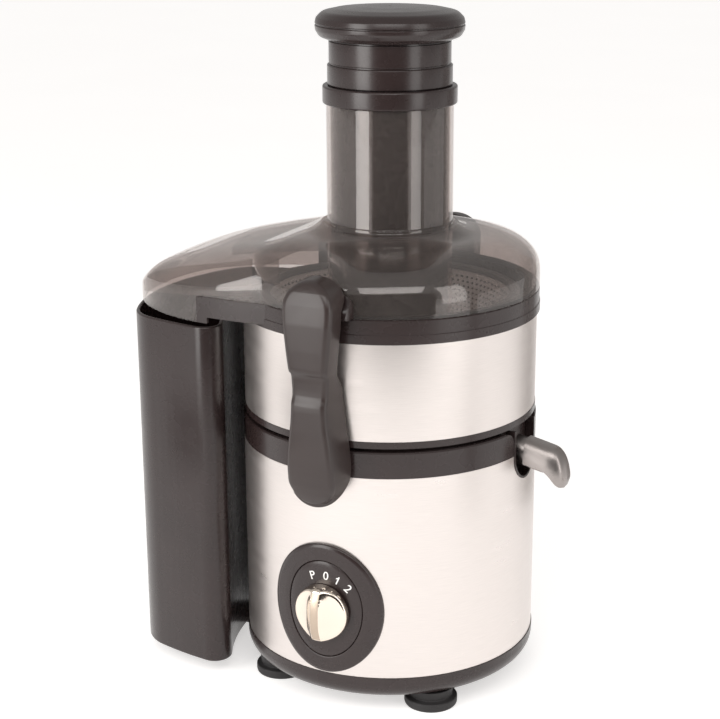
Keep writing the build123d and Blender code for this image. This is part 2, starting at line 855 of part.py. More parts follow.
def make_motor_screws():
    """Four screws that hang the motor from the deck."""
    with BuildPart() as screws:
        with BuildSketch(drum(BRACKET_Z)):
            with PolarLocations(MOTOR_PITCH_R, 4, start_angle=45):
                Circle(4)
        extrude(amount=-2.6)
        with BuildSketch(drum(BRACKET_Z)):
            with PolarLocations(MOTOR_PITCH_R, 4, start_angle=45):
                Circle(1.9)
        extrude(amount=14)
    return screws


def make_circuit_board():
    """Speed control board with its larger components."""
    with BuildPart() as board:
        with BuildSketch(drum(68)):
            with Locations((-75.2, 0)):
                Rectangle(1.6, 61)
        extrude(amount=54)
        with BuildSketch(side(-74.5)):
            with Locations((-16, 106)):
                Rectangle(16, 20)
            with Locations((4, 110)):
                Circle(6)
            with Locations((20, 106)):
                Rectangle(9, 18)
            with Locations((-18, 80)):
                Rectangle(12, 12)
        extrude(amount=13)
    return board


def make_heat_sink():
    """Finned aluminium heat sink on the board."""
    with BuildPart() as sink:
        with BuildSketch(drum(74)):
            with Locations((-73.3, 8)):
                Rectangle(2, 26)
            with Locations((-68.3, -4), (-68.3, 2), (-68.3, 8), (-68.3, 14), (-68.3, 20)):
                Rectangle(9, 1.4)
        extrude(amount=22)
    return sink


def make_interlock_switch():
    """Safety switch under the deck that only lets the motor run with the lid latched."""
    with BuildPart() as switch:
        with BuildSketch(side(-10)):
            with Locations((-82, 147)):
                Rectangle(6.5, 11)
        extrude(amount=20)
        with BuildSketch(drum(152)):
            with Locations((4, -82)):
                Circle(1.5)
        extrude(amount=1.8)
        with BuildSketch(drum(136)):
            with Locations((-7, -82), (0, -82), (7, -82)):
                Rectangle(0.8, 4)
        extrude(amount=6)
    return switch


# ---- bowl and spout -----------------------------------------------------------------------
def juice_outlet():
    """Round space through the bowl's wall and floor, in line with the spout."""
    with BuildPart() as space:
        with BuildSketch(spout_plane(80)):
            Circle(SPOUT_TUBE_R + 0.1)
        extrude(amount=20)
    return space.part


def outlet_wall(near_x):
    """Plan of the two walls beside the pulp outlet, from their far end to near_x."""
    with BuildSketch() as walls:
        add(lid_outline(0))
        add(lid_outline(LID_WALL), mode=Mode.SUBTRACT)
        with Locations(((OUTLET_X + near_x) / 2, 0)):
            Rectangle(near_x - OUTLET_X, 4 * SIDE_HALF_W, mode=Mode.INTERSECT)
    return walls.sketch


def make_juice_bowl():
    """Wall of the bowl that catches the juice; its rim and floor are nodes of their own."""
    sleeve_r = BOWL_STEEL_R - STEEL_T
    with BuildPart() as bowl:
        with BuildSketch(Plane.XZ):
            with BuildLine():
                Polyline((GUTTER_R, BOWL_BOTTOM), (BOWL_NEST_R, BOWL_BOTTOM),
                         (BOWL_NEST_R, BOWL_LIP_BOTTOM), (BOWL_LIP_R, BOWL_LIP_BOTTOM),
                         (BOWL_LIP_R, BOWL_STEEL_BOTTOM - 0.1),
                         (sleeve_r, BOWL_STEEL_BOTTOM - 0.1), (sleeve_r, BOWL_WALL_TOP),
                         (BOWL_INNER_R, BOWL_WALL_TOP), (BOWL_INNER_R, 188),
                         (GUTTER_R, 182), close=True)
            make_face()
        revolve(axis=Axis.Z)
        add(juice_outlet(), mode=Mode.SUBTRACT)
    return bowl


def make_bowl_rim():
    """Rim of the bowl: ring for the lid, inner lip, and the walls of the pulp outlet."""
    with BuildPart() as rim:
        with BuildSketch(Plane.XZ):
            with BuildLine():
                Polyline((BOWL_INNER_R, BOWL_WALL_TOP), (BOWL_RIM_R, BOWL_WALL_TOP),
                         (BOWL_RIM_R, BOWL_RIM_TOP - 0.4), (LID_R, BOWL_RIM_TOP),
                         (LID_R, BOWL_RING_TOP - 0.6), (LID_R - 0.6, BOWL_RING_TOP),
                         (94.4, BOWL_RING_TOP), (94.4, BOWL_TOP), (90, BOWL_TOP),
                         (90, BOWL_RIM_TOP - 1), (BOWL_INNER_R, BOWL_RIM_TOP - 4), close=True)
            make_face()
        revolve(axis=Axis.Z)
        # The pulp leaves over a lowered stretch of the rim
        with BuildSketch(drum(BOWL_RIM_TOP + 0.01)):
            with Locations((-90, 0)):
                Rectangle(70, 146)
        extrude(amount=20, mode=Mode.SUBTRACT)
        # Side walls of the pulp outlet, flush with the lid above them
        with BuildSketch(drum(249)):
            add(outlet_wall(-41))
        extrude(amount=BOWL_RING_TOP - 249)
        with BuildSketch(drum(CHANNEL_BOTTOM)):
            add(outlet_wall(OUTLET_X + 8))
        extrude(amount=5)
        # Lip that carries the pulp over the bin's near wall
        with BuildSketch(drum(249)):
            Circle(105)
            Circle(91.5, mode=Mode.SUBTRACT)
            with Locations((-80, 0)):
                Rectangle(60, 2 * 84.6, mode=Mode.INTERSECT)
        extrude(amount=3)
    return rim


def make_bowl_floor():
    """Gutter floor of the bowl, which runs up to the middle in a shallow cone."""
    with BuildPart() as floor:
        add(turned((38, 160.5), (56, BOWL_BOTTOM), (GUTTER_R, BOWL_BOTTOM), (GUTTER_R, 162),
                   (84, 159.8), (58, 159.8), (40, 163.5)).part)
        add(juice_outlet(), mode=Mode.SUBTRACT)
    return floor


def make_bowl_sleeve():
    """Sleeve in the middle of the bowl, which keeps juice away from the drive."""
    return turned((38, 160.5), (40, 163.5), (20, 168), (20, 188), (17, 188), (17, 166),
                  (19.6, 163.5))


def spout_plane(x):
    """Plane square to the spout's axis at the given x."""
    slope = radians(SPOUT_SLOPE)
    z = SPOUT_Z - (x - SPOUT_X) * tan(slope)
    return Plane(origin=(x, 0, z), x_dir=(0, 1, 0), z_dir=(cos(slope), 0, -sin(slope)))


def make_bowl_steel_band():
    """Brushed steel band round the bowl."""
    with BuildPart() as band:
        with BuildSketch(drum(BOWL_STEEL_BOTTOM)):
            Circle(BOWL_STEEL_R)
            Circle(BOWL_STEEL_R - STEEL_T + 0.02, mode=Mode.SUBTRACT)
        extrude(amount=BOWL_STEEL_TOP - BOWL_STEEL_BOTTOM)
    return band


def make_juice_spout():
    """Straight inner tube of the spout."""
    with BuildPart() as tube:
        with BuildSketch(spout_plane(86)):
            Circle(SPOUT_TUBE_R)
            Circle(SPOUT_TUBE_R - SPOUT_T, mode=Mode.SUBTRACT)
        extrude(amount=25)
    return tube


def make_spout_hood():
    """Hood over the tube, bent down into a beak."""
    start = spout_plane(98.5)
    bend = spout_plane(BEAK_X)
    with BuildPart() as hood:
        with BuildLine(Plane.XZ) as path:
            straight = Line((start.origin.X, start.origin.Z), (bend.origin.X, bend.origin.Z))
            JernArc(straight @ 1, straight % 1, BEAK_BEND_R, -BEAK_TURN)
        with BuildSketch(start):
            Circle(SPOUT_HOOD_R)
            Circle(SPOUT_TUBE_R + 0.1, mode=Mode.SUBTRACT)
        sweep(path=path.wires()[0])
    return hood


# ---- spinning basket ----------------------------------------------------------------------
def make_drive_coupling():
    """Splined coupling on the top of the shaft."""
    with BuildPart() as coupling:
        with BuildSketch(drum(168)):
            Circle(12)
            Circle(SHAFT_R, mode=Mode.SUBTRACT)
            with PolarLocations(12.2, 8):
                Circle(1.6, mode=Mode.SUBTRACT)
        extrude(amount=22)
    return coupling


def make_filter_hub():
    """Plastic hub of the basket, a cup that drops over the coupling."""
    with BuildPart() as hub:
        with BuildSketch(Plane.XZ):
            with BuildLine():
                Polyline((0, 190.3), (12.4, 190.3), (12.4, 176), (15.5, 176), (15.5, 190.3),
                         (22.5, 190.3), (22.5, 178), (25, 178), (25, 194), (46, 198),
                         (48.6, 202.8), (0, 202.8), close=True)
            make_face()
        revolve(axis=Axis.Z)
    return hub


def make_grater_disc():
    """Steel disc with rings of raised teeth."""
    with BuildPart() as disc:
        with BuildSketch(drum(DISC_Z)):
            Circle(47.6)
        extrude(amount=1)
        for radius, count in ((14, 10), (22, 16), (30, 22), (38, 28)):
            with BuildSketch(drum(DISC_Z + 1)):
                with PolarLocations(radius, count):
                    RegularPolygon(1.3, 3)
            extrude(amount=1.6)
    return disc


def make_filter_mesh():
    """Conical strainer wall."""
    low_r, high_r = MESH_R
    low_z, high_z = MESH_Z
    return turned((low_r, low_z), (high_r, high_z), (high_r + 0.8, high_z), (low_r + 0.8, low_z))


def make_filter_rim():
    """Plastic rim that stiffens the basket's mouth."""
    return turned((77.6, 255.1), (81, 255.1), (82, 250), (84, 250), (84, 257.5), (80, 259),
                  (77.6, 258))


# ---- lid ----------------------------------------------------------------------------------
def lid_volume(inset, bottom):
    """Solid envelope of the lid, shrunk by the inset, down to the given height."""
    roof = ROOF_Z - inset
    flat_r = LID_R - LID_SHOULDER_A
    shoulder_a = LID_SHOULDER_A - inset
    shoulder_top = LID_SHOULDER_Z + LID_SHOULDER_B - inset
    with BuildPart() as volume:
        # Long part over the pulp channel: plan, side view and end view intersected
        with BuildSketch(drum(bottom)):
            add(channel_outline(inset))
        extrude(amount=roof - bottom)
        with BuildSketch(front(120)):
            with BuildLine():
                crest = Spline((0, roof), (-47, 300 - inset), (-100, 289 - inset),
                               (-152 + inset / 2, 270.5 - inset), (END_X + inset, 252 - inset))
                Polyline(crest @ 1, (END_X + inset, bottom), (0, bottom), (0, roof))
            make_face()
        extrude(amount=240, mode=Mode.INTERSECT)
        with BuildSketch(side(-200)):
            with BuildLine():
                half = SIDE_HALF_W - inset
                right = EllipticalCenterArc((half - shoulder_a, LID_SHOULDER_Z), shoulder_a,
                                            roof - LID_SHOULDER_Z, 0, arc_size=90)
                left = EllipticalCenterArc((shoulder_a - half, LID_SHOULDER_Z), shoulder_a,
                                           roof - LID_SHOULDER_Z, 90, arc_size=90)
                Line(right @ 1, left @ 0)
                Polyline(left @ 1, (-half, bottom), (half, bottom), right @ 0)
            make_face()
        extrude(amount=220, mode=Mode.INTERSECT)
        # Round part over the bowl
        with BuildSketch(Plane.XZ):
            with BuildLine():
                shoulder = EllipticalCenterArc((flat_r, LID_SHOULDER_Z), shoulder_a,
                                               LID_SHOULDER_B - inset, 0, arc_size=90)
                Polyline(shoulder @ 1, (CHUTE_R, roof), (0, roof), (0, bottom),
                         (LID_R - inset, bottom), shoulder @ 0)
            make_face()
        revolve(axis=Axis.Z)
    return volume.part


def make_lid_cover():
    """Clear lid: dome, channel roof, feed chute and the tube below it, in one moulding."""
    with BuildPart() as lid:
        add(lid_volume(0, CHANNEL_BOTTOM))
        add(lid_volume(LID_WALL, CHANNEL_BOTTOM - 1), mode=Mode.SUBTRACT)
        # The skirt stands on the bowl's ring and outlet walls, and hangs lower past them
        skirt_step = OUTLET_X - 0.3
        with BuildSketch(drum(CHANNEL_BOTTOM - 1)):
            with Locations(((skirt_step + LID_R + 5) / 2, 0)):
                Rectangle(LID_R + 5 - skirt_step, 4 * SIDE_HALF_W)
        extrude(amount=LID_BOTTOM - CHANNEL_BOTTOM + 1, mode=Mode.SUBTRACT)
        with BuildSketch(drum(FEED_TUBE_BOTTOM)):
            Circle(CHUTE_R)
        extrude(amount=CHUTE_TOP - FEED_TUBE_BOTTOM)
        with BuildSketch(drum(ROOF_Z - 1)):
            Circle(CHUTE_R + 0.9)
        extrude(amount=3)
        # Rib that backs the seal on the bowl's side of the lid
        with BuildSketch(drum(BOWL_TOP + 2.9)):
            Circle(LID_R - 1)
            Circle(90.4, mode=Mode.SUBTRACT)
            with Locations((-100, 0)):
                Rectangle(120, 240, mode=Mode.SUBTRACT)
        extrude(amount=2)
        with BuildSketch(drum(FEED_TUBE_BOTTOM - 1)):
            Circle(CHUTE_BORE_R)
        extrude(amount=CHUTE_TOP - FEED_TUBE_BOTTOM + 2, mode=Mode.SUBTRACT)
    return lid


def make_chute_collar():
    """Black collar round the chute's mouth."""
    mouth = CHUTE_TOP
    return turned((CHUTE_BORE_R, mouth + 0.1), (CHUTE_R, mouth + 0.1), (CHUTE_R, mouth),
                  (COLLAR_R - 0.7, mouth), (COLLAR_R, mouth + 0.7), (COLLAR_R, COLLAR_TOP - 1),
                  (COLLAR_R - 1, COLLAR_TOP), (CHUTE_BORE_R, COLLAR_TOP))


def make_latch_lugs():
    """Two catches on the lid that the latch arms hook over."""
    with BuildPart() as lugs:
        with BuildSketch(side(-20)) as profile:
            with BuildLine():
                Polyline((-92, LID_BOTTOM), (-102.6, LID_BOTTOM), (-102.6, 267.4), (-93, 278.1),
                         (-92, 278.1), close=True)
            make_face()
            mirror(about=Plane.YZ)
        extrude(amount=40)
        with BuildSketch(drum(LID_BOTTOM - 1)):
            Circle(LID_R + 0.05)
        extrude(amount=19 + LID_SHOULDER_B, mode=Mode.SUBTRACT)
    return lugs


def make_lid_seal():
    """Rubber seal between the lid and the top of the bowl."""
    with BuildPart() as seal:
        with BuildSketch(drum(BOWL_TOP + 0.3)):
            Circle(LID_R - LID_WALL)
            Circle(90.4, mode=Mode.SUBTRACT)
            with Locations((-100, 0)):
                Rectangle(120, 240, mode=Mode.SUBTRACT)
        extrude(amount=2.6)
    return seal


# ---- pusher -------------------------------------------------------------------------------
def make_pusher_tube():
    """Hollow food pusher, closed at its lower end."""
    bore = PUSHER_R - 2.5
    return turned((0, PUSHER_BOTTOM), (PUSHER_R - 1, PUSHER_BOTTOM),
                  (PUSHER_R, PUSHER_BOTTOM + 1), (PUSHER_R, NECK_TOP), (bore, NECK_TOP),
                  (bore, PUSHER_BOTTOM + 3), (0, PUSHER_BOTTOM + 3))


def make_pusher_stop():
    """Stop ring and neck sleeve that rest on the chute's collar."""
    stop = COLLAR_TOP + 0.4
    return turned((PUSHER_R, stop), (39.2, stop), (39.2, STOP_RING_TOP), (37.9, STOP_RING_TOP),
                  (37.9, STOP_RING_TOP + 0.8), (38.2, STOP_RING_TOP + 1.2), (38.2, NECK_TOP - 1),
                  (PUSHER_R, NECK_TOP - 1))


def make_pusher_cap():
    """Round grip on the top of the pusher: a flared underside and a low dome."""
    with BuildPart() as cap:
        with BuildSketch(Plane.XZ):
            with BuildLine():
                lower = ThreePointArc((39, NECK_TOP), (44.6, 419.6), (CAP_R, CAP_SEAM))
                Polyline(lower @ 1, (CAP_R - 0.4, CAP_SEAM + 0.5))
                roll = ThreePointArc((CAP_R - 0.4, CAP_SEAM + 0.5), (43.0, 432.2), (34, 435.3))
                Polyline(roll @ 1, (16, CAP_TOP - 0.3), (0, CAP_TOP), (0, CAP_TOP - 4),
                         (30, CAP_TOP - 6), (34, NECK_TOP), lower @ 0)
            make_face()
        revolve(axis=Axis.Z)
    return cap


# ---- latch arms ---------------------------------------------------------------------------
def make_front_latch():
    """Front latch arm: a waisted lever with a hook at the top and a hinge at the bottom."""
    with BuildPart() as arm:
        # Front view
        with BuildSketch(front(-80)):
            with BuildLine():
                top = ThreePointArc((LOBE_TOP_R, LOBE_TOP_Z), (0, LOBE_TOP_Z + LOBE_TOP_R),
                                    (-LOBE_TOP_R, LOBE_TOP_Z))
                left = Spline(top @ 1, (-WAIST_HALF_W, WAIST_Z), (-LOBE_LOW_R, LOBE_LOW_Z),
                              tangents=((0, -1), (0, -1)))
                low = ThreePointArc(left @ 1, (0, LOBE_LOW_Z - LOBE_LOW_R),
                                    (LOBE_LOW_R, LOBE_LOW_Z))
                Spline(low @ 1, (WAIST_HALF_W, WAIST_Z), top @ 0, tangents=((0, 1), (0, 1)))
            make_face()
        extrude(amount=45)
        # Side view
        with BuildSketch(side(-30)):
            with BuildLine():
                grip = Spline((-109, 289.5), (-116.7, 281), (-118.4, 260), (-117.5, 240),
                              (-113.6, 230), (-113.2, 221), (-115.6, 210), (-116, 190),
                              (-114.8, 168), (-110.3, 145))
                Polyline(grip @ 1, (-106, 151.5), (-103, 156), (-98, 162.5), (-97, 170),
                         (-97, 221), (-103.5, 230), (-103.5, 268.6), (-97, 275.9),
                         (-97, 278), (-94.5, 284.5), (-98, 289), (-109, 289.5))
            make_face()
        extrude(amount=60, mode=Mode.INTERSECT)
        # Pocket for the hinge boss
        with BuildSketch(side(-8)):
            with BuildLine():
                Polyline((-112.5, 167.5), (-112.3, 165), (-110.9, 163), (-101, 154.6),
                         (-90, 154.6), (-90, 212), (-109.5, 212), (-112.5, 206), close=True)
            make_face()
        extrude(amount=16, mode=Mode.SUBTRACT)
        with BuildSketch(side(-15.3)):
            with Locations((PIVOT_Y, PIVOT_Z)):
                Circle(PIN_R + RUNNING_GAP)
        extrude(amount=30.6, mode=Mode.SUBTRACT)
    return arm


def make_rear_latch(front_arm):
    """Rear latch arm, the mirror image of the front one."""
    with BuildPart() as arm:
        add(mirror(front_arm.part, about=Plane.XZ, mode=Mode.PRIVATE))
    return arm


def make_latch_pins():
    """Two hinge pins, fixed in the deck's bosses."""
    with BuildPart() as pins:
        with BuildSketch(side(-15)):
            with Locations((PIVOT_Y, PIVOT_Z), (-PIVOT_Y, PIVOT_Z)):
                Circle(PIN_R)
        extrude(amount=30)
    return pins


# ---- pulp bin -----------------------------------------------------------------------------
def make_pulp_bin():
    """Tall open bin, hollowed on one side to stand against the body."""
    with BuildPart() as pulp_bin:
        with BuildSketch(drum(BIN_BOTTOM)):
            add(bin_outline(0))
        extrude(amount=BIN_TOP - BIN_BOTTOM)
        with BuildSketch(drum(BIN_BOTTOM + 3)):
            add(bin_outline(BIN_WALL))
        extrude(amount=BIN_TOP - BIN_BOTTOM, mode=Mode.SUBTRACT)
    return pulp_bin


# ---- build and write every piece ----------------------------------------------------------
os.makedirs("parts", exist_ok=True)

front_latch = make_front_latch()
pieces = {
    "base_pan": make_base_pan(),
    "rubber_feet": make_feet(),
    "foot_screws": make_foot_screws(),
    "base_steel_shell": make_base_steel_shell(),
    "base_housing": make_base_housing(),
    "base_deck": make_base_deck(),
    "deck_screws": make_deck_screws(),
    "spout_pocket": make_spout_pocket(),
    "cord_gland": make_cord_gland(),
    "panel_bezel": make_panel_bezel(),
    "dial_plate": make_dial_plate(),
    "dial_scale": make_dial_scale(),
    "rotary_switch": make_rotary_switch(),
    "switch_nut": make_switch_nut(),
    "selector_knob": make_selector_knob(),
    "switch_shaft": make_switch_shaft(),
    "motor_stator": make_motor_stator(),
    "field_coils": make_field_coils(),
    "armature_core": make_armature_core(),
    "armature_winding": make_armature_winding(),
    "commutator": make_commutator(),
    "motor_shaft": make_motor_shaft(),
    "cooling_fan": make_cooling_fan(),
    "upper_bearing": make_bearing(140.0),
    "lower_bearing": make_bearing(40.0),
    "upper_motor_bracket": make_upper_bracket(),
    "lower_motor_bracket": make_lower_bracket(),
    "brush_holders": make_brush_holders(),
    "carbon_brushes": make_carbon_brushes(),
    "motor_bushes": make_motor_bushes(),
    "motor_screws": make_motor_screws(),
    "circuit_board": make_circuit_board(),
    "heat_sink": make_heat_sink(),
    "interlock_switch": make_interlock_switch(),
    "shaft_seal": ring(152.0, 164.0, 12.0, SHAFT_R + RUNNING_GAP),
    "juice_bowl": make_juice_bowl(),
    "bowl_rim": make_bowl_rim(),
    "bowl_floor": make_bowl_floor(),
    "bowl_sleeve": make_bowl_sleeve(),
    "bowl_steel_band": make_bowl_steel_band(),
    "juice_spout": make_juice_spout(),
    "spout_hood": make_spout_hood(),
    "drive_coupling": make_drive_coupling(),
    "filter_hub": make_filter_hub(),
    "grater_disc": make_grater_disc(),
    "filter_mesh": make_filter_mesh(),
    "filter_rim": make_filter_rim(),
    "lid_cover": make_lid_cover(),
    "chute_collar": make_chute_collar(),
    "latch_lugs": make_latch_lugs(),
    "lid_seal": make_lid_seal(),
    "pusher_tube": make_pusher_tube(),
    "pusher_stop": make_pusher_stop(),
    "pusher_cap": make_pusher_cap(),
    "front_latch": front_latch,
    "rear_latch": make_rear_latch(front_latch),
    "latch_pins": make_latch_pins(),
    "pulp_bin": make_pulp_bin(),
}

for name, piece in pieces.items():
    save(piece, name)
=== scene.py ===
import json
import math

import bmesh
import bpy
import numpy as np
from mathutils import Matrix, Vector


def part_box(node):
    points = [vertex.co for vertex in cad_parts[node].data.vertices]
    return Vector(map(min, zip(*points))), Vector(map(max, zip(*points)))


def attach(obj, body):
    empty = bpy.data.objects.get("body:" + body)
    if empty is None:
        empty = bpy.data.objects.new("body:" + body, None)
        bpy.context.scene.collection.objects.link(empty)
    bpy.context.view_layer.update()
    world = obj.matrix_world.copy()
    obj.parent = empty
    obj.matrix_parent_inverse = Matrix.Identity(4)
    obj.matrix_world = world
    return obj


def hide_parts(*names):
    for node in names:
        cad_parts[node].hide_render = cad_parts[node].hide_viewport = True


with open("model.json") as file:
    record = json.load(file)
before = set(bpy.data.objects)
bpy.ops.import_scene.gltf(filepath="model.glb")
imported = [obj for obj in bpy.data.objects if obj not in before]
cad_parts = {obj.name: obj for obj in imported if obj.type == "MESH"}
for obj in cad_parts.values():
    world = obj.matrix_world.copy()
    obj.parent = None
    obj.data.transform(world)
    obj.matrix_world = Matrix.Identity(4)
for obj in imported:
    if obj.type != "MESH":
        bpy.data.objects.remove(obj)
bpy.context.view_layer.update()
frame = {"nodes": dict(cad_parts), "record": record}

# Visual model of the centrifugal juicer. Shapes are worked out in millimetres in the part's own
# frame and written in metres. +Z is up, -Y is the front with the knob, +X is the spout side.
MM = 0.001
NODES = frame["nodes"]
BODY_OF = {node: body for body, members in frame["record"]["behaviour"]["bodies"].items()
           for node in members}
SLOT_OF = {row["node"]: row["material_slot"] for row in frame["record"]["subparts"]}

# ---- camera ----
CAM_AZIMUTH = 25.0        # degrees from -Y towards +X
CAM_PITCH = 16.67         # degrees below the horizon
CAM_DISTANCE = 1.0583     # level distance from the motor's axis
CAM_HEIGHT = 0.5263
CAM_LENS = 84.4
CAM_SHIFT_X = -0.0417


def box_mm(node):
    """Lowest and highest corner of a CAD node, in millimetres."""
    low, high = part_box(node)
    return np.array(low) / MM, np.array(high) / MM


# ---- material nodes ----
def new_node(tree, kind, inputs=(), **settings):
    """A shader node with its settings and inputs; an input that is a socket is linked."""
    made = tree.nodes.new(kind)
    for key, value in settings.items():
        setattr(made, key, value)
    for key, value in dict(inputs).items():
        if isinstance(value, bpy.types.NodeSocket):
            tree.links.new(value, made.inputs[key])
        else:
            made.inputs[key].default_value = value
    return made


def start_material(name):
    """An empty node material with one Principled shader."""
    material = bpy.data.materials.new(name)
    material.use_nodes = True
    tree = material.node_tree
    shader = next(n for n in tree.nodes if n.type == "BSDF_PRINCIPLED")
    return material, tree, shader


def coordinates(tree):
    """Place on the object, in metres."""
    return new_node(tree, "ShaderNodeTexCoord").outputs["Object"]


def dress(tree, shader, colour, rough, normal, metallic=0.0):
    """Links a shader's colour, roughness and normal."""
    for key, socket in (("Base Color", colour), ("Roughness", rough), ("Normal", normal)):
        tree.links.new(socket, shader.inputs[key])
    shader.inputs["Metallic"].default_value = metallic


def noise(tree, vector, scale, detail=2.0, rough=0.5):
    """Noise value along a vector."""
    return new_node(tree, "ShaderNodeTexNoise",
                    {"Vector": vector, "Scale": scale, "Detail": detail,
                     "Roughness": rough}).outputs[0]


def remap(tree, value, low, high, from_low=0.25, from_high=0.75):
    """A value mapped to a new range."""
    return new_node(tree, "ShaderNodeMapRange",
                    {"Value": value, "From Min": from_low, "From Max": from_high,
                     "To Min": low, "To Max": high}).outputs[0]


def two_tone(tree, value, dark, light, low=0.3, high=0.7):
    """Colour between two tones."""
    ramp = new_node(tree, "ShaderNodeValToRGB", {"Fac": value})
    ramp.color_ramp.elements[0].position = low
    ramp.color_ramp.elements[0].color = (*dark, 1)
    ramp.color_ramp.elements[1].position = high
    ramp.color_ramp.elements[1].color = (*light, 1)
    return ramp.outputs[0]


def bump(tree, height, strength, distance):
    """Normal from a height value; distance is in millimetres."""
    return new_node(tree, "ShaderNodeBump",
                    {"Height": height, "Strength": strength,
                     "Distance": distance * MM}).outputs[0]


def spread(colour, amount):
    """A darker and a lighter version of a colour."""
    return [c * (1 - amount) for c in colour], [min(1.0, c * (1 + amount)) for c in colour]


def moulded(name, colour, rough, grain=0.08, grain_scale=1500, vary=0.10, coat=0.0,
            specular=0.42):
    """Moulded plastic or rubber: fine spark-eroded grain and soft patches of gloss."""
    material, tree, shader = start_material(name)
    here = coordinates(tree)
    dress(tree, shader, two_tone(tree, noise(tree, here, 26, 4), *spread(colour, vary)),
          remap(tree, noise(tree, here, 90, 5), rough * 0.88, rough * 1.12),
          bump(tree, noise(tree, here, grain_scale, 2), grain, 0.05))
    shader.inputs["Coat Weight"].default_value = coat
    shader.inputs["Coat Roughness"].default_value = 0.12
    shader.inputs["Specular IOR Level"].default_value = specular
    return material


def around_axis(tree, along, up):
    """Vector for marks that run round the upright axis: angle and height, scaled."""
    split = new_node(tree, "ShaderNodeSeparateXYZ", {0: coordinates(tree)})
    angle = new_node(tree, "ShaderNodeMath", {0: split.outputs[1], 1: split.outputs[0]},
                     operation="ARCTAN2").outputs[0]
    turn = new_node(tree, "ShaderNodeMath", {0: angle, 1: along}, operation="MULTIPLY").outputs[0]
    height = new_node(tree, "ShaderNodeMath", {0: split.outputs[2], 1: up},
                      operation="MULTIPLY").outputs[0]
    return new_node(tree, "ShaderNodeCombineXYZ", {0: turn, 1: height}).outputs[0]


def brushed(name, colour, rough, lines=2600):
    """Sheet metal brushed round the upright axis."""
    material, tree, shader = start_material(name)
    hair = noise(tree, around_axis(tree, 7, lines), 1, 3, 0.6)
    band = noise(tree, around_axis(tree, 2.2, lines / 14), 1, 3)
    dress(tree, shader, two_tone(tree, hair, *spread(colour, 0.035)),
          remap(tree, band, rough * 0.9, rough * 1.12), bump(tree, hair, 0.10, 0.02), 1.0)
    shader.inputs["Anisotropic"].default_value = 0.75
    tangent = new_node(tree, "ShaderNodeTangent", direction_type="RADIAL", axis="Z")
    tree.links.new(tangent.outputs[0], shader.inputs["Tangent"])
    return material


def metal(name, colour, rough, grain=0.08, grain_scale=500, vary=0.05):
    """Cast, ground, turned or plated metal."""
    material, tree, shader = start_material(name)
    here = coordinates(tree)
    dress(tree, shader, two_tone(tree, noise(tree, here, 40, 4), *spread(colour, vary)),
          remap(tree, noise(tree, here, 160, 4), rough * 0.75, rough * 1.25),
          bump(tree, noise(tree, here, grain_scale, 3), grain, 0.04), 1.0)
    return material


def layered(name, dark, light, rough, metallic, scale, distance, axis="Z"):
    """Stacked sheets or wound wire: fine ridges along one axis."""
    material, tree, shader = start_material(name)
    here = coordinates(tree)
    wave = new_node(tree, "ShaderNodeTexWave",
                    {"Vector": here, "Scale": scale, "Distortion": 0.6, "Detail": 2.0},
                    wave_type="BANDS", bands_direction=axis, wave_profile="SIN").outputs[1]
    dress(tree, shader, two_tone(tree, wave, dark, light, 0.15, 0.85),
          remap(tree, noise(tree, here, 120, 3), rough * 0.8, rough * 1.2),
          bump(tree, wave, 0.5, distance), metallic)
    return material


def board(name):
    """Circuit board: solder mask over tracks, with paler dots where parts are soldered."""
    material, tree, shader = start_material(name)
    here = coordinates(tree)
    cells = new_node(tree, "ShaderNodeTexVoronoi", {"Vector": here, "Scale": 260},
                     distance="MANHATTAN", feature="F1").outputs[0]
    dress(tree, shader,
          two_tone(tree, cells, (0.35, 0.42, 0.22), (0.02, 0.13, 0.05), 0.12, 0.2),
          remap(tree, noise(tree, here, 100), 0.25, 0.45), bump(tree, cells, 0.4, 0.1))
    return material


def smoke(name, tint, haze):
    """Clear smoke-grey plastic: a tint at each face and a mirror that grows at grazing angles."""
    material, tree, shader = start_material(name)
    output = next(n for n in tree.nodes if n.type == "OUTPUT_MATERIAL")
    tree.nodes.remove(shader)
    here = coordinates(tree)
    flow = noise(tree, here, 14, 2)
    dark, light = spread(tint, 0.04)
    clear = new_node(tree, "ShaderNodeBsdfTransparent",
                     {"Color": two_tone(tree, flow, dark, light)})
    rough = remap(tree, noise(tree, here, 60, 3), 0.03, 0.075)
    ripple = bump(tree, noise(tree, here, 35, 2), 0.05, 0.5)
    mirror = new_node(tree, "ShaderNodeBsdfGlossy",
                      {"Color": (0.95, 0.93, 0.92, 1), "Roughness": rough, "Normal": ripple})
    body = new_node(tree, "ShaderNodeBsdfDiffuse", {"Color": (0.46, 0.42, 0.40, 1)})
    cloudy = new_node(tree, "ShaderNodeMixShader",
                      {0: haze, 1: clear.outputs[0], 2: body.outputs[0]})
    facing = new_node(tree, "ShaderNodeLayerWeight", {"Blend": 0.5}).outputs["Facing"]
    edge = new_node(tree, "ShaderNodeMath", {0: facing, 1: 4.0}, operation="POWER").outputs[0]
    share = new_node(tree, "ShaderNodeMapRange", {"Value": edge, "To Min": 0.05, "To Max": 0.75})
    mixed = new_node(tree, "ShaderNodeMixShader",
                     {0: share.outputs[0], 1: cloudy.outputs[0], 2: mirror.outputs[0]})
    tree.links.new(mixed.outputs[0], output.inputs["Surface"])
    return material


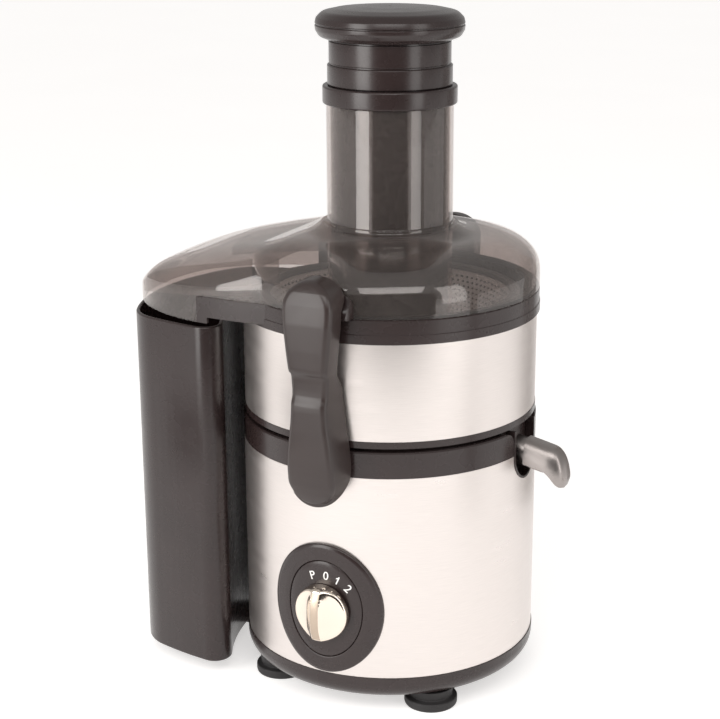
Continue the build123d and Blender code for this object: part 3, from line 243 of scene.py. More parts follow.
def make_materials():
    """One material for each slot of the record."""
    recipes = {
        "black_plastic": (moulded, (0.024, 0.0155, 0.0150), 0.27, 0.08, 1500, 0.10, 0.08),
        "latch_plastic": (moulded, (0.031, 0.0215, 0.0200), 0.33, 0.08, 1500, 0.10, 0.05),
        "switch_plastic": (moulded, (0.08, 0.08, 0.09), 0.45),
        "fan_plastic": (moulded, (0.16, 0.16, 0.17), 0.5),
        "filter_plastic": (moulded, (0.10, 0.10, 0.10), 0.4),
        "rubber": (moulded, (0.020, 0.0185, 0.019), 0.62, 0.35, 900, 0.2),
        "carbon": (moulded, (0.03, 0.03, 0.03), 0.55, 0.4, 1200, 0.2),
        "white_print": (moulded, (0.85, 0.84, 0.82), 0.45, 0.05, 900, 0.03),
        "smoke_clear": (smoke, (0.74, 0.70, 0.685), 0.05),
        "brushed_steel": (brushed, (0.72, 0.67, 0.645), 0.30),
        "stainless": (brushed, (0.72, 0.71, 0.70), 0.28, 1800),
        "bearing_steel": (metal, (0.60, 0.60, 0.62), 0.18),
        "zinc_steel": (metal, (0.55, 0.56, 0.58), 0.32, 0.15),
        "cast_aluminium": (metal, (0.62, 0.63, 0.64), 0.42, 0.35, 700),
        "brass": (metal, (0.72, 0.56, 0.26), 0.25),
        "plated_silver": (metal, (0.33, 0.30, 0.288), 0.33, 0.03, 120, 0.04),
        "plated_champagne": (metal, (0.84, 0.74, 0.64), 0.14, 0.03, 120, 0.03),
        "matte_champagne": (metal, (0.50, 0.41, 0.33), 0.42, 0.1, 900),
        "lamination": (layered, (0.10, 0.10, 0.11), (0.30, 0.30, 0.32), 0.4, 0.9, 320, 0.2),
        "copper": (layered, (0.38, 0.14, 0.06), (0.78, 0.38, 0.19), 0.3, 0.9, 200, 0.4),
        "board_green": (board,),
    }
    return {name: make(name, *values) for name, (make, *values) in recipes.items()}


MATERIALS = make_materials()


def dress_cad_nodes():
    """Every carried-over CAD node takes the material of its slot."""
    for name, thing in NODES.items():
        finish = MATERIALS[SLOT_OF[name]]
        if not thing.material_slots:
            thing.data.materials.append(finish)
        for place in thing.material_slots:
            place.material = finish


# ---- mesh building ----
def mark_edges(mesh, angle):
    """Smooth shading, with edges sharper than the angle kept crisp."""
    shape = bmesh.new()
    shape.from_mesh(mesh)
    bmesh.ops.remove_doubles(shape, verts=shape.verts, dist=0.002 * MM)
    bmesh.ops.recalc_face_normals(shape, faces=shape.faces)
    for face in shape.faces:
        face.smooth = True
    for edge in shape.edges:
        edge.smooth = len(edge.link_faces) != 2 or edge.calc_face_angle(0) < math.radians(angle)
    shape.to_mesh(mesh)
    shape.free()


def piece(name, verts, faces, body, slot, nodes=(), angle=38):
    """A new mesh piece from points in millimetres, riding on its body."""
    mesh = bpy.data.meshes.new(name)
    mesh.from_pydata([tuple(float(c) * MM for c in v) for v in verts], [], faces)
    mark_edges(mesh, angle)
    thing = bpy.data.objects.new(name, mesh)
    return enter(thing, body, slot, nodes)


def enter(thing, body, slot, nodes=()):
    """Links a finished object, gives it its material and ties it to the frame."""
    bpy.context.scene.collection.objects.link(thing)
    thing.data.materials.clear()
    thing.data.materials.append(MATERIALS[slot])
    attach(thing, body)
    if nodes:
        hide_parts(*nodes)
    return thing


def loft(rings, closed=False, start=None, end=None):
    """Skin over rings of equal length. start and end: "fan" or "flat" to shut that end."""
    count = len(rings[0])
    verts = [tuple(p) for ring in rings for p in ring]
    faces = []
    pairs = list(zip(range(len(rings)), range(1, len(rings))))
    if closed:
        pairs.append((len(rings) - 1, 0))
    for a, b in pairs:
        for i in range(count):
            j = (i + 1) % count
            faces.append((a * count + i, a * count + j, b * count + j, b * count + i))
    for how, index in ((start, 0), (end, len(rings) - 1)):
        ids = list(range(index * count, (index + 1) * count))
        if how == "flat":
            faces.append(ids)
        elif how == "fan":
            verts.append(tuple(np.mean([verts[i] for i in ids], axis=0)))
            centre = len(verts) - 1
            faces += [(ids[i], ids[(i + 1) % count], centre) for i in range(count)]
    return verts, faces


def rounded(points, closed=False, steps=6):
    """Outline from (a, b) or (a, b, radius) points, with an arc at each corner with a radius."""
    path = []
    total = len(points)
    for i, corner in enumerate(points):
        here = np.array(corner[:2], float)
        radius = corner[2] if len(corner) > 2 else 0
        if radius <= 0 or (not closed and i in (0, total - 1)):
            path.append(here)
            continue
        back = np.array(points[i - 1][:2], float) - here
        ahead = np.array(points[(i + 1) % total][:2], float) - here
        back_len, ahead_len = np.linalg.norm(back), np.linalg.norm(ahead)
        back, ahead = back / back_len, ahead / ahead_len
        half = math.acos(float(np.clip(back @ ahead, -1, 1))) / 2
        reach = min(radius / math.tan(half), 0.49 * back_len, 0.49 * ahead_len)
        radius = reach * math.tan(half)
        middle = (back + ahead) / np.linalg.norm(back + ahead)
        centre = here + middle * radius / math.sin(half)
        first, last = here + back * reach - centre, here + ahead * reach - centre
        a0, a1 = math.atan2(first[1], first[0]), math.atan2(last[1], last[0])
        turn = (a1 - a0 + math.pi) % (2 * math.pi) - math.pi
        for k in range(steps + 1):
            a = a0 + turn * k / steps
            path.append(centre + radius * np.array([math.cos(a), math.sin(a)]))
    return path


def spokes(count):
    """Evenly spaced directions round a full turn."""
    return np.linspace(0, 2 * math.pi, count, endpoint=False)


def circle(radius, z, count=160, centre=(0.0, 0.0)):
    """Level ring of points."""
    a = spokes(count)
    return np.column_stack([centre[0] + radius * np.cos(a), centre[1] + radius * np.sin(a),
                            np.full(count, z)])


def hermite(t, step, start, end, start_slope, end_slope):
    """Cubic curve between two values with given slopes, for t from 0 to 1."""
    return ((2 * t**3 - 3 * t**2 + 1) * start + (t**3 - 2 * t**2 + t) * step * start_slope
            + (3 * t**2 - 2 * t**3) * end + (t**3 - t**2) * step * end_slope)


def turned(name, points, body, slot, nodes=(), closed=True, ends=(None, None), count=160,
           centres=((0.0, 0.0),)):
    """Pieces turned about upright axes, from (radius, height, corner radius) points."""
    verts, faces = [], []
    profile = rounded(points, closed)
    for centre in centres:
        rings = [circle(r, z, count, centre) for r, z in profile]
        more_verts, more_faces = loft(rings, closed, *ends)
        faces += [tuple(i + len(verts) for i in f) for f in more_faces]
        verts += more_verts
    return piece(name, verts, faces, body, slot, nodes)


# ---- lid ----
LID_R = box_mm("lid_cover")[1][0]
LID_END_X = box_mm("lid_cover")[0][0]
LID_TOP = box_mm("lid_cover")[1][2]
LID_LOW = box_mm("lid_cover")[0][2]
LID_WALL = 2.4
SKIRT_Z = 262.3
OUTLET_X = (-96.4, -92.6)      # sloping step of the skirt, at its foot and at its top
CHANNEL_Z = 245.0
SHOULDER = 51.0
SHOULDER_POWER = 2.4     # above 2 the shoulder is squarer than an ellipse
CHUTE_R = 40.0
CHUTE_BORE = 37.5
SIDE_R = 250.0
SIDE_HALF = 86.3
SIDE_X = -66.0
END_R = 130.0
CORNER_R = 32.0
BLEND_R = 1.5
EAVE_LOW, EAVE_TOP = 250.0, 272.5    # where the skirt turns into the shoulder
CONE_R, CONE_WIDTH, CONE_RISE = 56.0, 14.0, 7.0    # rise of the roof towards the chute
CREST = ((60, 297.0), (0, 295.5), (-47, 296.6), (-70, 290.2), (-100, 283.9), (-126, 277.9),
         (-150, 270.0), (-163, 257.0), (-170, 247.5), (-180, 236.0))


def meet(a, b, radius):
    """Signed distance of two overlapping shapes' common part, with a rounded corner."""
    u, v = np.maximum(radius + a, 0), np.maximum(radius + b, 0)
    return np.minimum(-radius, np.maximum(a, b)) + np.hypot(u, v)


def join(a, b, radius):
    """Signed distance of two shapes together, with a rounded inner corner."""
    u, v = np.maximum(radius - a, 0), np.maximum(radius - b, 0)
    return np.maximum(radius, np.minimum(a, b)) - np.hypot(u, v)


def channel_distance(x, y):
    """Signed distance from the outline of the pulp channel, negative inside."""
    offset = SIDE_R - SIDE_HALF
    one = np.hypot(x - SIDE_X, y - offset) - SIDE_R
    other = np.hypot(x - SIDE_X, y + offset) - SIDE_R
    end = np.hypot(x - (LID_END_X + END_R), y) - END_R
    return meet(np.maximum(one, other), end, CORNER_R)


def lid_distance(x, y):
    """Signed distance from the lid's plan outline, negative inside."""
    return join(np.hypot(x, y) - LID_R, channel_distance(x, y), BLEND_R)


def reach(distance, angles, inset):
    """How far from the motor's axis the outline lies in each direction."""
    low, high = np.full(len(angles), 50.0), np.full(len(angles), 190.0)
    for _ in range(40):
        middle = (low + high) / 2
        inside = distance(middle * np.cos(angles), middle * np.sin(angles)) < -inset
        low, high = np.where(inside, middle, low), np.where(inside, high, middle)
    return low


def even_angles(distance, count):
    """Directions that space the outline's points evenly."""
    fine = np.linspace(0, 2 * np.pi, 4001)
    r = reach(distance, fine, 0)
    points = np.column_stack([r * np.cos(fine), r * np.sin(fine)])
    strides = np.linalg.norm(np.diff(points, axis=0), axis=1)
    strides = strides * (1 + 5 * (np.abs(points[1:, 0] - sum(OUTLET_X) / 2) < 3.2))
    length = np.concatenate([[0], np.cumsum(strides)])
    return np.interp(np.linspace(0, length[-1], count, endpoint=False), length, fine)


def crest_height(x):
    """Height of the roof's ridge over the channel, as a smooth curve through CREST."""
    knots = np.array(CREST[::-1], float)
    slopes = np.gradient(knots[:, 1], knots[:, 0])
    x = np.clip(x, knots[0, 0], knots[-1, 0])
    i = np.clip(np.searchsorted(knots[:, 0], x) - 1, 0, len(knots) - 2)
    step = knots[i + 1, 0] - knots[i, 0]
    return hermite((x - knots[i, 0]) / step, step, knots[i, 1], knots[i + 1, 1],
                   slopes[i], slopes[i + 1])


def roof_height(x, y, inset):
    """Height of the lid's outer face, or of a face inset below it."""
    depth = np.maximum(-lid_distance(x, y) - inset, 0)
    width = SHOULDER - inset
    left = (width - np.minimum(depth, width)) / width
    curve = np.clip(1 - left**SHOULDER_POWER, 0, 1) ** (1 / SHOULDER_POWER)
    ridge = crest_height(x)
    eave = np.minimum(EAVE_LOW + 0.45 * (ridge - EAVE_LOW), EAVE_TOP)
    cone = np.clip((CONE_R - np.hypot(x, y)) / CONE_WIDTH, 0, 1) ** 2 * CONE_RISE
    return eave + (ridge + cone - inset - eave) * curve


def skirt_height(angles):
    """Lower edge of the lid's skirt: it drops beyond the walls of the bowl's outlet."""
    x = reach(lid_distance, angles, 0) * np.cos(angles)
    low, high = OUTLET_X
    step = np.clip((high - x) / (high - low), 0, 1)
    return SKIRT_Z + (CHANNEL_Z - SKIRT_Z) * step


def lid_face(angles, inset, steps=16, inner_steps=14):
    """Rings of points over the lid's wall and roof, from the skirt to the chute."""
    outer = reach(lid_distance, angles, inset)
    floor = skirt_height(angles)
    c, s = np.cos(angles), np.sin(angles)
    rings = []
    base_r = CHUTE_R + 4.0
    wall_top = roof_height(outer * c, outer * s, inset)
    for share in (0.0, 0.12, 0.4, 0.75, 1.0):
        z = floor + (wall_top - floor) * share
        rings.append(np.column_stack([outer * c, outer * s, z]))
    bend = [SHOULDER * (1 - math.cos(math.pi / 2 * k / steps)) for k in range(1, steps + 1)]
    for back in bend:
        r = outer - np.minimum(back, outer - base_r)
        rings.append(np.column_stack([r * c, r * s, roof_height(r * c, r * s, inset)]))
    start = outer - SHOULDER
    for k in range(1, inner_steps + 1):
        r = start + (base_r - start) * k / inner_steps
        rings.append(np.column_stack([r * c, r * s, roof_height(r * c, r * s, inset)]))
    return rings


def rim_of(angles, profile):
    """Round rings at the lid's sample directions, from (radius, height) points."""
    return [np.column_stack([r * np.cos(angles), r * np.sin(angles), np.full(len(angles), z)])
            for r, z in profile]


def make_lid():
    """Clear lid in one moulding: skirt, shoulder, channel roof, chute and feed tube."""
    angles = even_angles(lid_distance, 300)
    outside = lid_face(angles, 0.0)
    inside = lid_face(angles, LID_WALL)
    neck = rounded([(CHUTE_R + 2.6, 300.9), (CHUTE_R + 1.1, 301.7, 1.2),
                    (CHUTE_R + 0.9, 303.6, 0.8), (CHUTE_R, 304.0, 0.5),
                    (CHUTE_R, LID_TOP, 0.4), (CHUTE_BORE, LID_TOP, 0.4),
                    (CHUTE_BORE, LID_LOW, 0.9), (CHUTE_R, LID_LOW, 0.9), (CHUTE_R, 297.0, 1.5)])
    skirt_edge = [outside[0] * 0.5 + inside[0] * 0.5 - np.array([0, 0, 0.5])]
    rings = outside + rim_of(angles, neck) + inside[::-1] + skirt_edge
    return piece("lid_shell", *loft(rings, closed=True), "lid", "smoke_clear", ("lid_cover",),
                 angle=50)


def lid_rib(name, points, thickness, top_gap=LID_WALL - 0.2, bottom=None):
    """Thin upright rib under the lid's roof, along a plan line."""
    line = np.array(points, float)
    along = np.gradient(line, axis=0)
    across = np.column_stack([-along[:, 1], along[:, 0]])
    across /= np.linalg.norm(across, axis=1)[:, None]
    rings = []
    for i, (x, y) in enumerate(line):
        top = float(roof_height(np.array([x]), np.array([y]), 0)[0]) - top_gap
        low = bottom[i] if bottom is not None else top - 6
        a = line[i] + across[i] * thickness / 2
        b = line[i] - across[i] * thickness / 2
        rings.append(np.array([(*a, low), (*a, top), (*b, top), (*b, low)]))
    verts, faces = loft(rings, False, "flat", "flat")
    return piece(name, verts, faces, "lid", "smoke_clear")


def make_lid_ribs():
    """Inner edge of the basket's guard and the two walls that steer pulp into the bin."""
    guard_r = 86.0
    arc = np.radians(np.linspace(118, 242, 41))
    ring = [(guard_r * math.cos(a), guard_r * math.sin(a)) for a in arc]
    lid_rib("lid_guard_rib", ring, 2.0, bottom=[266.0 + 8 * abs(math.sin(a)) for a in arc])
    for sign, side in ((1, "rear"), (-1, "front")):
        wall = [(x, sign * (70.5 - 0.0022 * (x + 70) ** 2)) for x in np.linspace(-62, -150, 23)]
        lid_rib(f"lid_steer_{side}", wall, 1.8,
                bottom=[262.0 - 9.0 * (x + 62) / -88 for x, _ in wall])


def make_lugs():
    """Two catches on the lid's side, rounded at their top corners, that the arms hook over."""
    low, high = box_mm("latch_lugs")
    half, bottom, top, face = high[0], low[2], high[2], high[1]
    outline = rounded([(-half, bottom, 1), (-half, top, 9), (half, top, 9), (half, bottom, 1)],
                      True, 8)
    for sign, side in ((-1, "front"), (1, "rear")):
        layers = []
        for inset, out in ((0.0, 0.0), (0.0, 0.72), (0.5, 0.9), (1.4, 1.0)):
            ring = []
            for x, z in outline:
                x_in = x - math.copysign(min(abs(x), inset), x)
                z_in = z + inset if z < (bottom + top) / 2 else z - inset
                wall = math.sqrt(LID_R**2 - x_in**2) + 0.02
                slope = max(0.0, z_in - 267.4) * 0.9
                lean = min(slope, face - wall - 0.6)
                ring.append((x_in, sign * (wall + (face - lean - wall) * out), z_in))
            layers.append(ring)
        nodes = ("latch_lugs",) if sign < 0 else ()
        piece(f"lid_catch_{side}", *loft(layers, False, "flat", "fan"), "lid", "black_plastic",
              nodes)


# ---- pusher, collar and cap ----
def make_chute_top():
    """Collar round the chute's mouth, and the pusher's stop, neck and domed grip."""
    low, high = box_mm("chute_collar")
    r, z0, z1 = high[0], low[2], high[2]
    turned("collar_ring", [(CHUTE_BORE + 0.02, z0 + 0.1), (CHUTE_R, z0 + 0.1), (CHUTE_R, z0),
                           (r, z0, 1.0), (r, z1, 1.3), (CHUTE_BORE + 0.02, z1, 0.5)],
           "lid", "black_plastic", ("chute_collar",))
    low, high = box_mm("pusher_stop")
    r, z0, z1 = high[0], low[2], high[2]
    ring_top, neck_r, bore = 401.7, 38.2, 37.12
    turned("pusher_neck", [(bore, z0), (r, z0, 0.5), (r, ring_top, 0.7), (37.6, ring_top),
                           (37.6, ring_top + 0.9), (neck_r, ring_top + 1.2, 0.4),
                           (neck_r, z1, 0.4), (bore, z1)],
           "pusher", "black_plastic", ("pusher_stop",))
    low, high = box_mm("pusher_cap")
    r, z0, z1 = high[0], low[2], high[2]
    seam = z0 + 9.2
    under = [(34, z0, 0.5), (39.6, z0 + 0.05, 1.0), (44.2, z0 + 1.9, 4), (r - 0.35, z0 + 5.6, 4),
             (r, seam - 0.55, 0.6), (r - 0.95, seam - 0.35, 0.1), (r - 0.95, seam + 0.3, 0.1)]
    dome = [(r - 0.02, seam + 0.5, 0.6), (r - 0.8, seam + 3.9, 3.0), (r - 4.4, seam + 7.6, 7.0),
            (r - 13.5, z1 - 1.25, 20.0), (r - 28, z1 - 0.25, 20.0), (2.0, z1 - 0.02)]
    hollow = [(0.8, z1 - 0.02), (0.8, z1 - 4.0), (30, z1 - 6.0, 2)]
    turned("pusher_grip", under + dome + hollow, "pusher", "black_plastic", ("pusher_cap",))


# ---- latch arms ----
ARM_TOP_R, ARM_TOP_Z = 17.3, 271.0
ARM_LOW_R, ARM_LOW_Z = 20.0, 165.2
ARM_WAIST, ARM_WAIST_Z = 14.0, 226.0
ARM_EDGE = 4.0


def ease(t):
    """Smooth step from 0 to 1."""
    t = np.clip(t, 0, 1)
    return t * t * (3 - 2 * t)


def arm_outline(count=26):
    """Right half of the arm's front view, from the bottom point to the top point."""
    points = [(ARM_LOW_R * math.sin(a), ARM_LOW_Z - ARM_LOW_R * math.cos(a))
              for a in np.linspace(0, math.pi / 2, count)]
    for z in np.linspace(ARM_LOW_Z, ARM_WAIST_Z, 56)[1:]:
        t = (z - ARM_LOW_Z) / (ARM_WAIST_Z - ARM_LOW_Z)
        points.append((ARM_LOW_R + (ARM_WAIST - ARM_LOW_R) * float(ease(t)), z))
    for z in np.linspace(ARM_WAIST_Z, ARM_TOP_Z, 40)[1:]:
        t = (z - ARM_WAIST_Z) / (ARM_TOP_Z - ARM_WAIST_Z)
        points.append((ARM_WAIST + (ARM_TOP_R - ARM_WAIST) * float(ease(t)), z))
    points += [(ARM_TOP_R * math.cos(a), ARM_TOP_Z + ARM_TOP_R * math.sin(a))
               for a in np.linspace(0, math.pi / 2, count)[1:]]
    return np.array(points)


def arm_front(z):
    """Front face of the arm: an upper panel, a sunk waist with creases and a lower panel."""
    knots = np.array([(145, -109.6), (149, -111.4), (154, -113.2), (160, -114.8),
                      (167, -115.9), (172.5, -116.5), (180, -116.9),
                      (195, -117.2), (208, -117.1), (212.0, -116.9), (213.8, -116.3),
                      (215.2, -115.5), (216.8, -115.1), (221, -115.0), (226, -115.1),
                      (228.8, -115.3), (230.4, -115.9), (231.9, -117.6), (233.8, -118.3),
                      (246, -118.5), (262, -118.5), (274, -117.8), (281, -116.4),
                      (286, -113.6), (289, -110.0)])
    return np.interp(z, knots[:, 0], knots[:, 1])


def arm_back(z):
    """Back face of the arm: hinge end, finger gap and hook, as in the CAD part."""
    knots = np.array([(145, -107.6), (151.5, -106.0), (156, -103.2), (162.5, -99.0),
                      (170, -97.0), (221, -97.0), (230, -103.5), (268.6, -103.5),
                      (275.9, -98.0), (284.5, -96.5), (289, -99.5)])
    return np.interp(z, knots[:, 0], knots[:, 1])


def arm_draft(z):
    """How much narrower the front panel is than the arm's back edge, on each side."""
    knots = np.array([(145, 2.0), (165, 4.2), (200, 3.6), (224, 1.6), (240, 0.8), (289, 0.8)])
    return np.interp(z, knots[:, 0], knots[:, 1])


def arm_section(x, z, nx, nz):
    """Half loop of points round the arm at one point of its outline, back to front."""
    loop = []
    back_edge, crown = 1.6, 0.35
    edge = min(ARM_EDGE, 0.5 * (arm_back(z) - arm_front(z)))
    draft = arm_draft(z)

    def corner(inset, depth_of, depth):
        px, pz = max(x - nx * inset, 0), z - nz * inset
        loop.append((px, float(depth_of(pz)) + depth, pz))

    for a in np.linspace(0, math.pi / 2, 5):
        corner(back_edge * (1 - math.sin(a)), arm_back, -back_edge * (1 - math.cos(a)))
    for a in np.linspace(0, math.pi / 2, 9):
        corner(draft + edge * (1 - math.cos(a)), arm_front, edge * (1 - math.sin(a)))
    edge_x, edge_y, edge_z = loop[-1]
    for share in (0.75, 0.5, 0.25):
        loop.append((edge_x * share, edge_y - crown * (1 - share**2) * min(1, edge_x / 8), edge_z))
    return loop


def make_arm(name, sign, body, node):
    """Latch arm with soft edges; sign is -1 for the front one and 1 for the rear one."""
    outline = arm_outline()
    tangent = np.gradient(outline, axis=0)
    tangent /= np.linalg.norm(tangent, axis=1)[:, None]
    rings = []
    for (x, z), (tx, tz) in zip(outline, tangent):
        right = arm_section(x, z, tz, -tx)
        left = [(-px, py, pz) for px, py, pz in right[::-1]]
        middle_front = (0.0, right[-1][1] - 0.02, right[-1][2])
        middle_back = (0.0, right[0][1], right[0][2])
        ring = right + [middle_front] + left + [middle_back]
        rings.append([(px, py * -sign, pz) for px, py, pz in ring])
    verts, faces = loft(rings, False, "flat", "flat")
    return piece(name, verts, faces, body, "latch_plastic", (node,), angle=60)


# ---- control panel ----
PANEL_Z = 73.0


def on_wall(x, z, radius):
    """Point on an upright cylinder of that radius, at the front."""
    return (x, -math.sqrt(radius**2 - x**2), z)


def oval(a, b, radius, count=144, centre_z=PANEL_Z):
    """Oval ring on the round front wall."""
    return [on_wall(a * math.cos(t), centre_z + b * math.sin(t), radius)
            for t in spokes(count)]


def make_panel():
    """Bezel and dial plate, both ovals that follow the round wall."""
    low, high = box_mm("panel_bezel")
    a, b = high[0], (high[2] - low[2]) / 2
    wide, tall = a - 25.5, b - 32.5    # width of the bezel at its sides and at its top
    shape = rounded([(0.0, 96.06), (0.0, 98.3, 1.6), (2.6, 98.95, 3.0), (8.0, 99.0, 4.0),
                     (wide + 0.001, 98.9, 0.8), (wide, 96.06)], False, 6)
    rings = [oval(a - d, b - d * tall / wide, r) for d, r in shape]
    piece("bezel_frame", *loft(rings, True), "base", "black_plastic", ("panel_bezel",))
    low, high = box_mm("dial_plate")
    a, b = high[0], (high[2] - low[2]) / 2
    knob_low, knob_high = box_mm("selector_knob")
    knob_z = (knob_low[2] + knob_high[2]) / 2
    face = 98.68
    back, hole = 95.1, 5.3
    rings = [oval(a, b, back), oval(a, b, face - 0.55), oval(a - 0.2, b - 0.2, face - 0.2),
             oval(a - 0.6, b - 0.6, face)]
    for share in (0.8, 0.6, 0.4, 0.2, 0.0):
        rings.append(oval(hole + (a - 0.6 - hole) * share, hole + (b - 0.6 - hole) * share, face,
                          centre_z=knob_z + (PANEL_Z - knob_z) * share))
    rings.append(oval(hole, hole, back, centre_z=knob_z))
    piece("dial_face", *loft(rings, True), "base", "black_plastic", ("dial_plate",))
    return knob_z, face


PRINT_BACK, PRINT_LIFT = -0.3, 0.14    # how far the print reaches into and over the dial


def glyph_mesh(text):
    """Flat letter of the scale with some depth, centred on the origin."""
    curve = bpy.data.curves.new("glyph", "FONT")
    curve.body = text
    curve.size = 7.8
    curve.align_x = "CENTER"
    curve.align_y = "CENTER"
    curve.offset = 0.03
    curve.resolution_u = 6
    curve.extrude = 0.5
    holder = bpy.data.objects.new("glyph", curve)
    bpy.context.scene.collection.objects.link(holder)
    bpy.context.view_layer.update()
    mesh = bpy.data.meshes.new_from_object(holder)
    bpy.data.objects.remove(holder)
    return mesh


def make_scale(knob_z, face):
    """Printed scale round the knob: park, off and two speeds."""
    verts, faces = [], []

    def put(across, up, turn, lift):
        a = math.radians(turn)
        x = across * math.cos(a) + up * math.sin(a)
        z = knob_z - across * math.sin(a) + up * math.cos(a)
        verts.append(on_wall(x, z, face + lift))

    for text, turn in (("P", -18.6), ("0", 4.6), ("1", 24.4), ("2", 44.0)):
        first = len(verts)
        mesh = glyph_mesh(text)
        for v in mesh.vertices:
            put(v.co.x, v.co.y + 23.6, turn, PRINT_LIFT if v.co.z > 0 else PRINT_BACK)
        faces += [tuple(first + i for i in p.vertices) for p in mesh.polygons]
        bpy.data.meshes.remove(mesh)
        if text == "1":
            # The font's 1 is a bare stroke, so it gets a short flag
            first = len(verts)
            for lift in (PRINT_BACK, PRINT_LIFT):
                for across, up in ((0.1, 26.3), (0.1, 25.3), (-1.5, 24.3), (-1.5, 25.1)):
                    put(across, up, turn, lift)
            faces += [(first + 4, first + 5, first + 6, first + 7),
                      (first + 3, first + 2, first + 1, first)]
            faces += [(first + k, first + (k + 1) % 4, first + 4 + (k + 1) % 4, first + 4 + k)
                      for k in range(4)]
    return piece("dial_scale_print", verts, faces, "base", "white_print", ("dial_scale",))


def make_knob():
    """Plated knob: a round base with a bar across it, scooped out on both sides."""
    low, high = box_mm("selector_knob")
    centre_z, radius = (low[2] + high[2]) / 2, high[0]
    back, front = -high[1], -low[1]
    depth = front - back
    base = 4.6
    turns = spokes(128)
    rings = [[(radius * math.cos(t), back, radius * math.sin(t)) for t in turns]]

    def height(x, z):
        across = np.clip((abs(x) - 3.0) / 13.0, 0, 1)
        scoop = (1 - across) ** 2.4
        sag = 4.6 * abs(z / radius) ** 2.6
        return base + (depth - base - 0.25 - sag) * scoop

    edge = 2.0
    for k in range(8):
        a = math.pi / 2 * k / 7
        inset = edge * (1 - math.cos(a))
        ring = []
        for t in turns:
            x, z = (radius - inset) * math.cos(t), (radius - inset) * math.sin(t)
            ring.append((x, back + height(x, z) - edge * (1 - math.sin(a)), z))
        rings.append(ring)
    for r in np.linspace(radius - edge, 0.4, 34)[1:]:
        rings.append([(r * math.cos(t), back + height(r * math.cos(t), r * math.sin(t)),
                       r * math.sin(t)) for t in turns])
    placed = [[(x, -y, z + centre_z) for x, y, z in ring] for ring in rings]
    strip = []
    section = ((-2.7, 0.4), (-2.7, -0.12), (-2.4, -0.22), (2.4, -0.22), (2.7, -0.12), (2.7, 0.4))
    for z in np.linspace(-radius + 2.2, radius - 2.2, 40):
        top = back + height(0, z)
        strip.append([(x, -top + y, z + centre_z) for x, y in section])
    piece("knob_strip", *loft(strip, False, "flat", "flat"), "knob", "matte_champagne")
    return piece("speed_knob", *loft(placed, False, "flat", "fan"), "knob", "plated_champagne",
                 ("selector_knob",))


# ---- spout ----
SPOUT_SLOPE = math.radians(12.0)
SPOUT_AT = (101.0, 159.2)
TUBE_R, TUBE_BORE = 9.2, 7.9


def make_spout_tube():
    """Straight inner tube of the spout, with a rounded mouth."""
    profile = rounded([(TUBE_BORE, 86.6), (TUBE_R, 86.6), (TUBE_R, 111.0, 0.5),
                       (TUBE_BORE, 111.0, 0.5)], True, 4)
    rings = []
    for r, along in profile:
        x = SPOUT_AT[0] + (along - SPOUT_AT[0]) * math.cos(SPOUT_SLOPE)
        z = SPOUT_AT[1] - (along - SPOUT_AT[0]) * math.sin(SPOUT_SLOPE)
        rings.append([(x + r * math.sin(t) * math.sin(SPOUT_SLOPE), r * math.cos(t),
                       z + r * math.sin(t) * math.cos(SPOUT_SLOPE))
                      for t in spokes(96)])
    return piece("spout_tube", *loft(rings, True), "base", "plated_silver", ("juice_spout",))


def smooth_line(points, count):
    """Evenly sampled curve through the points."""
    points = np.array(points, float)
    at = np.linspace(0, 1, len(points))
    fine = np.linspace(0, 1, count)
    slopes = np.gradient(points, at, axis=0)
    i = np.clip((fine * (len(points) - 1)).astype(int), 0, len(points) - 2)
    step = 1 / (len(points) - 1)
    t = ((fine - at[i]) / step)[:, None]
    return hermite(t, step, points[i], points[i + 1], slopes[i], slopes[i + 1])


def make_spout_hood():
    """Hood over the tube that bends down into a beak; open below."""
    ridge = smooth_line([(97.6, 170.4), (104.0, 169.0), (110.5, 167.5), (116.4, 165.9),
                         (120.0, 163.0), (122.6, 158.4), (124.3, 152.6), (125.2, 147.2),
                         (124.2, 142.2)], 48)
    lower = smooth_line([(97.6, 155.0), (103.6, 153.8), (108.6, 152.8), (112.2, 151.4),
                         (115.0, 149.0), (117.2, 146.4), (119.2, 143.8), (121.2, 141.8),
                         (123.2, 140.8)], 48)
    width = smooth_line([(10.3, 0), (10.3, 0), (10.3, 0), (10.3, 0), (10.2, 0), (9.9, 0),
                         (9.0, 0), (6.9, 0), (3.0, 0)], 48)[:, 0]
    wall = 1.2
    arc = np.linspace(0, math.pi, 49)
    side = np.sign(np.cos(arc)) * np.abs(np.cos(arc)) ** 0.62
    rise = np.sin(arc) ** 0.92
    rings = []
    for (tx, tz), (lx, lz), w in zip(ridge, lower, width):
        span = max(math.hypot(tx - lx, tz - lz), 0.2)
        trim = max(span - wall, 0.1) / span
        outside = [(lx + (tx - lx) * r, w * s, lz + (tz - lz) * r) for s, r in zip(side, rise)]
        inside = [(lx + (tx - lx) * r * trim, max(w - wall, 0.1) * s, lz + (tz - lz) * r * trim)
                  for s, r in zip(side[::-1], rise[::-1])]
        rings.append(outside + inside)
    return piece("spout_hood_shell", *loft(rings, False, "flat", "flat"), "base",
                 "plated_silver", ("spout_hood",), angle=45)


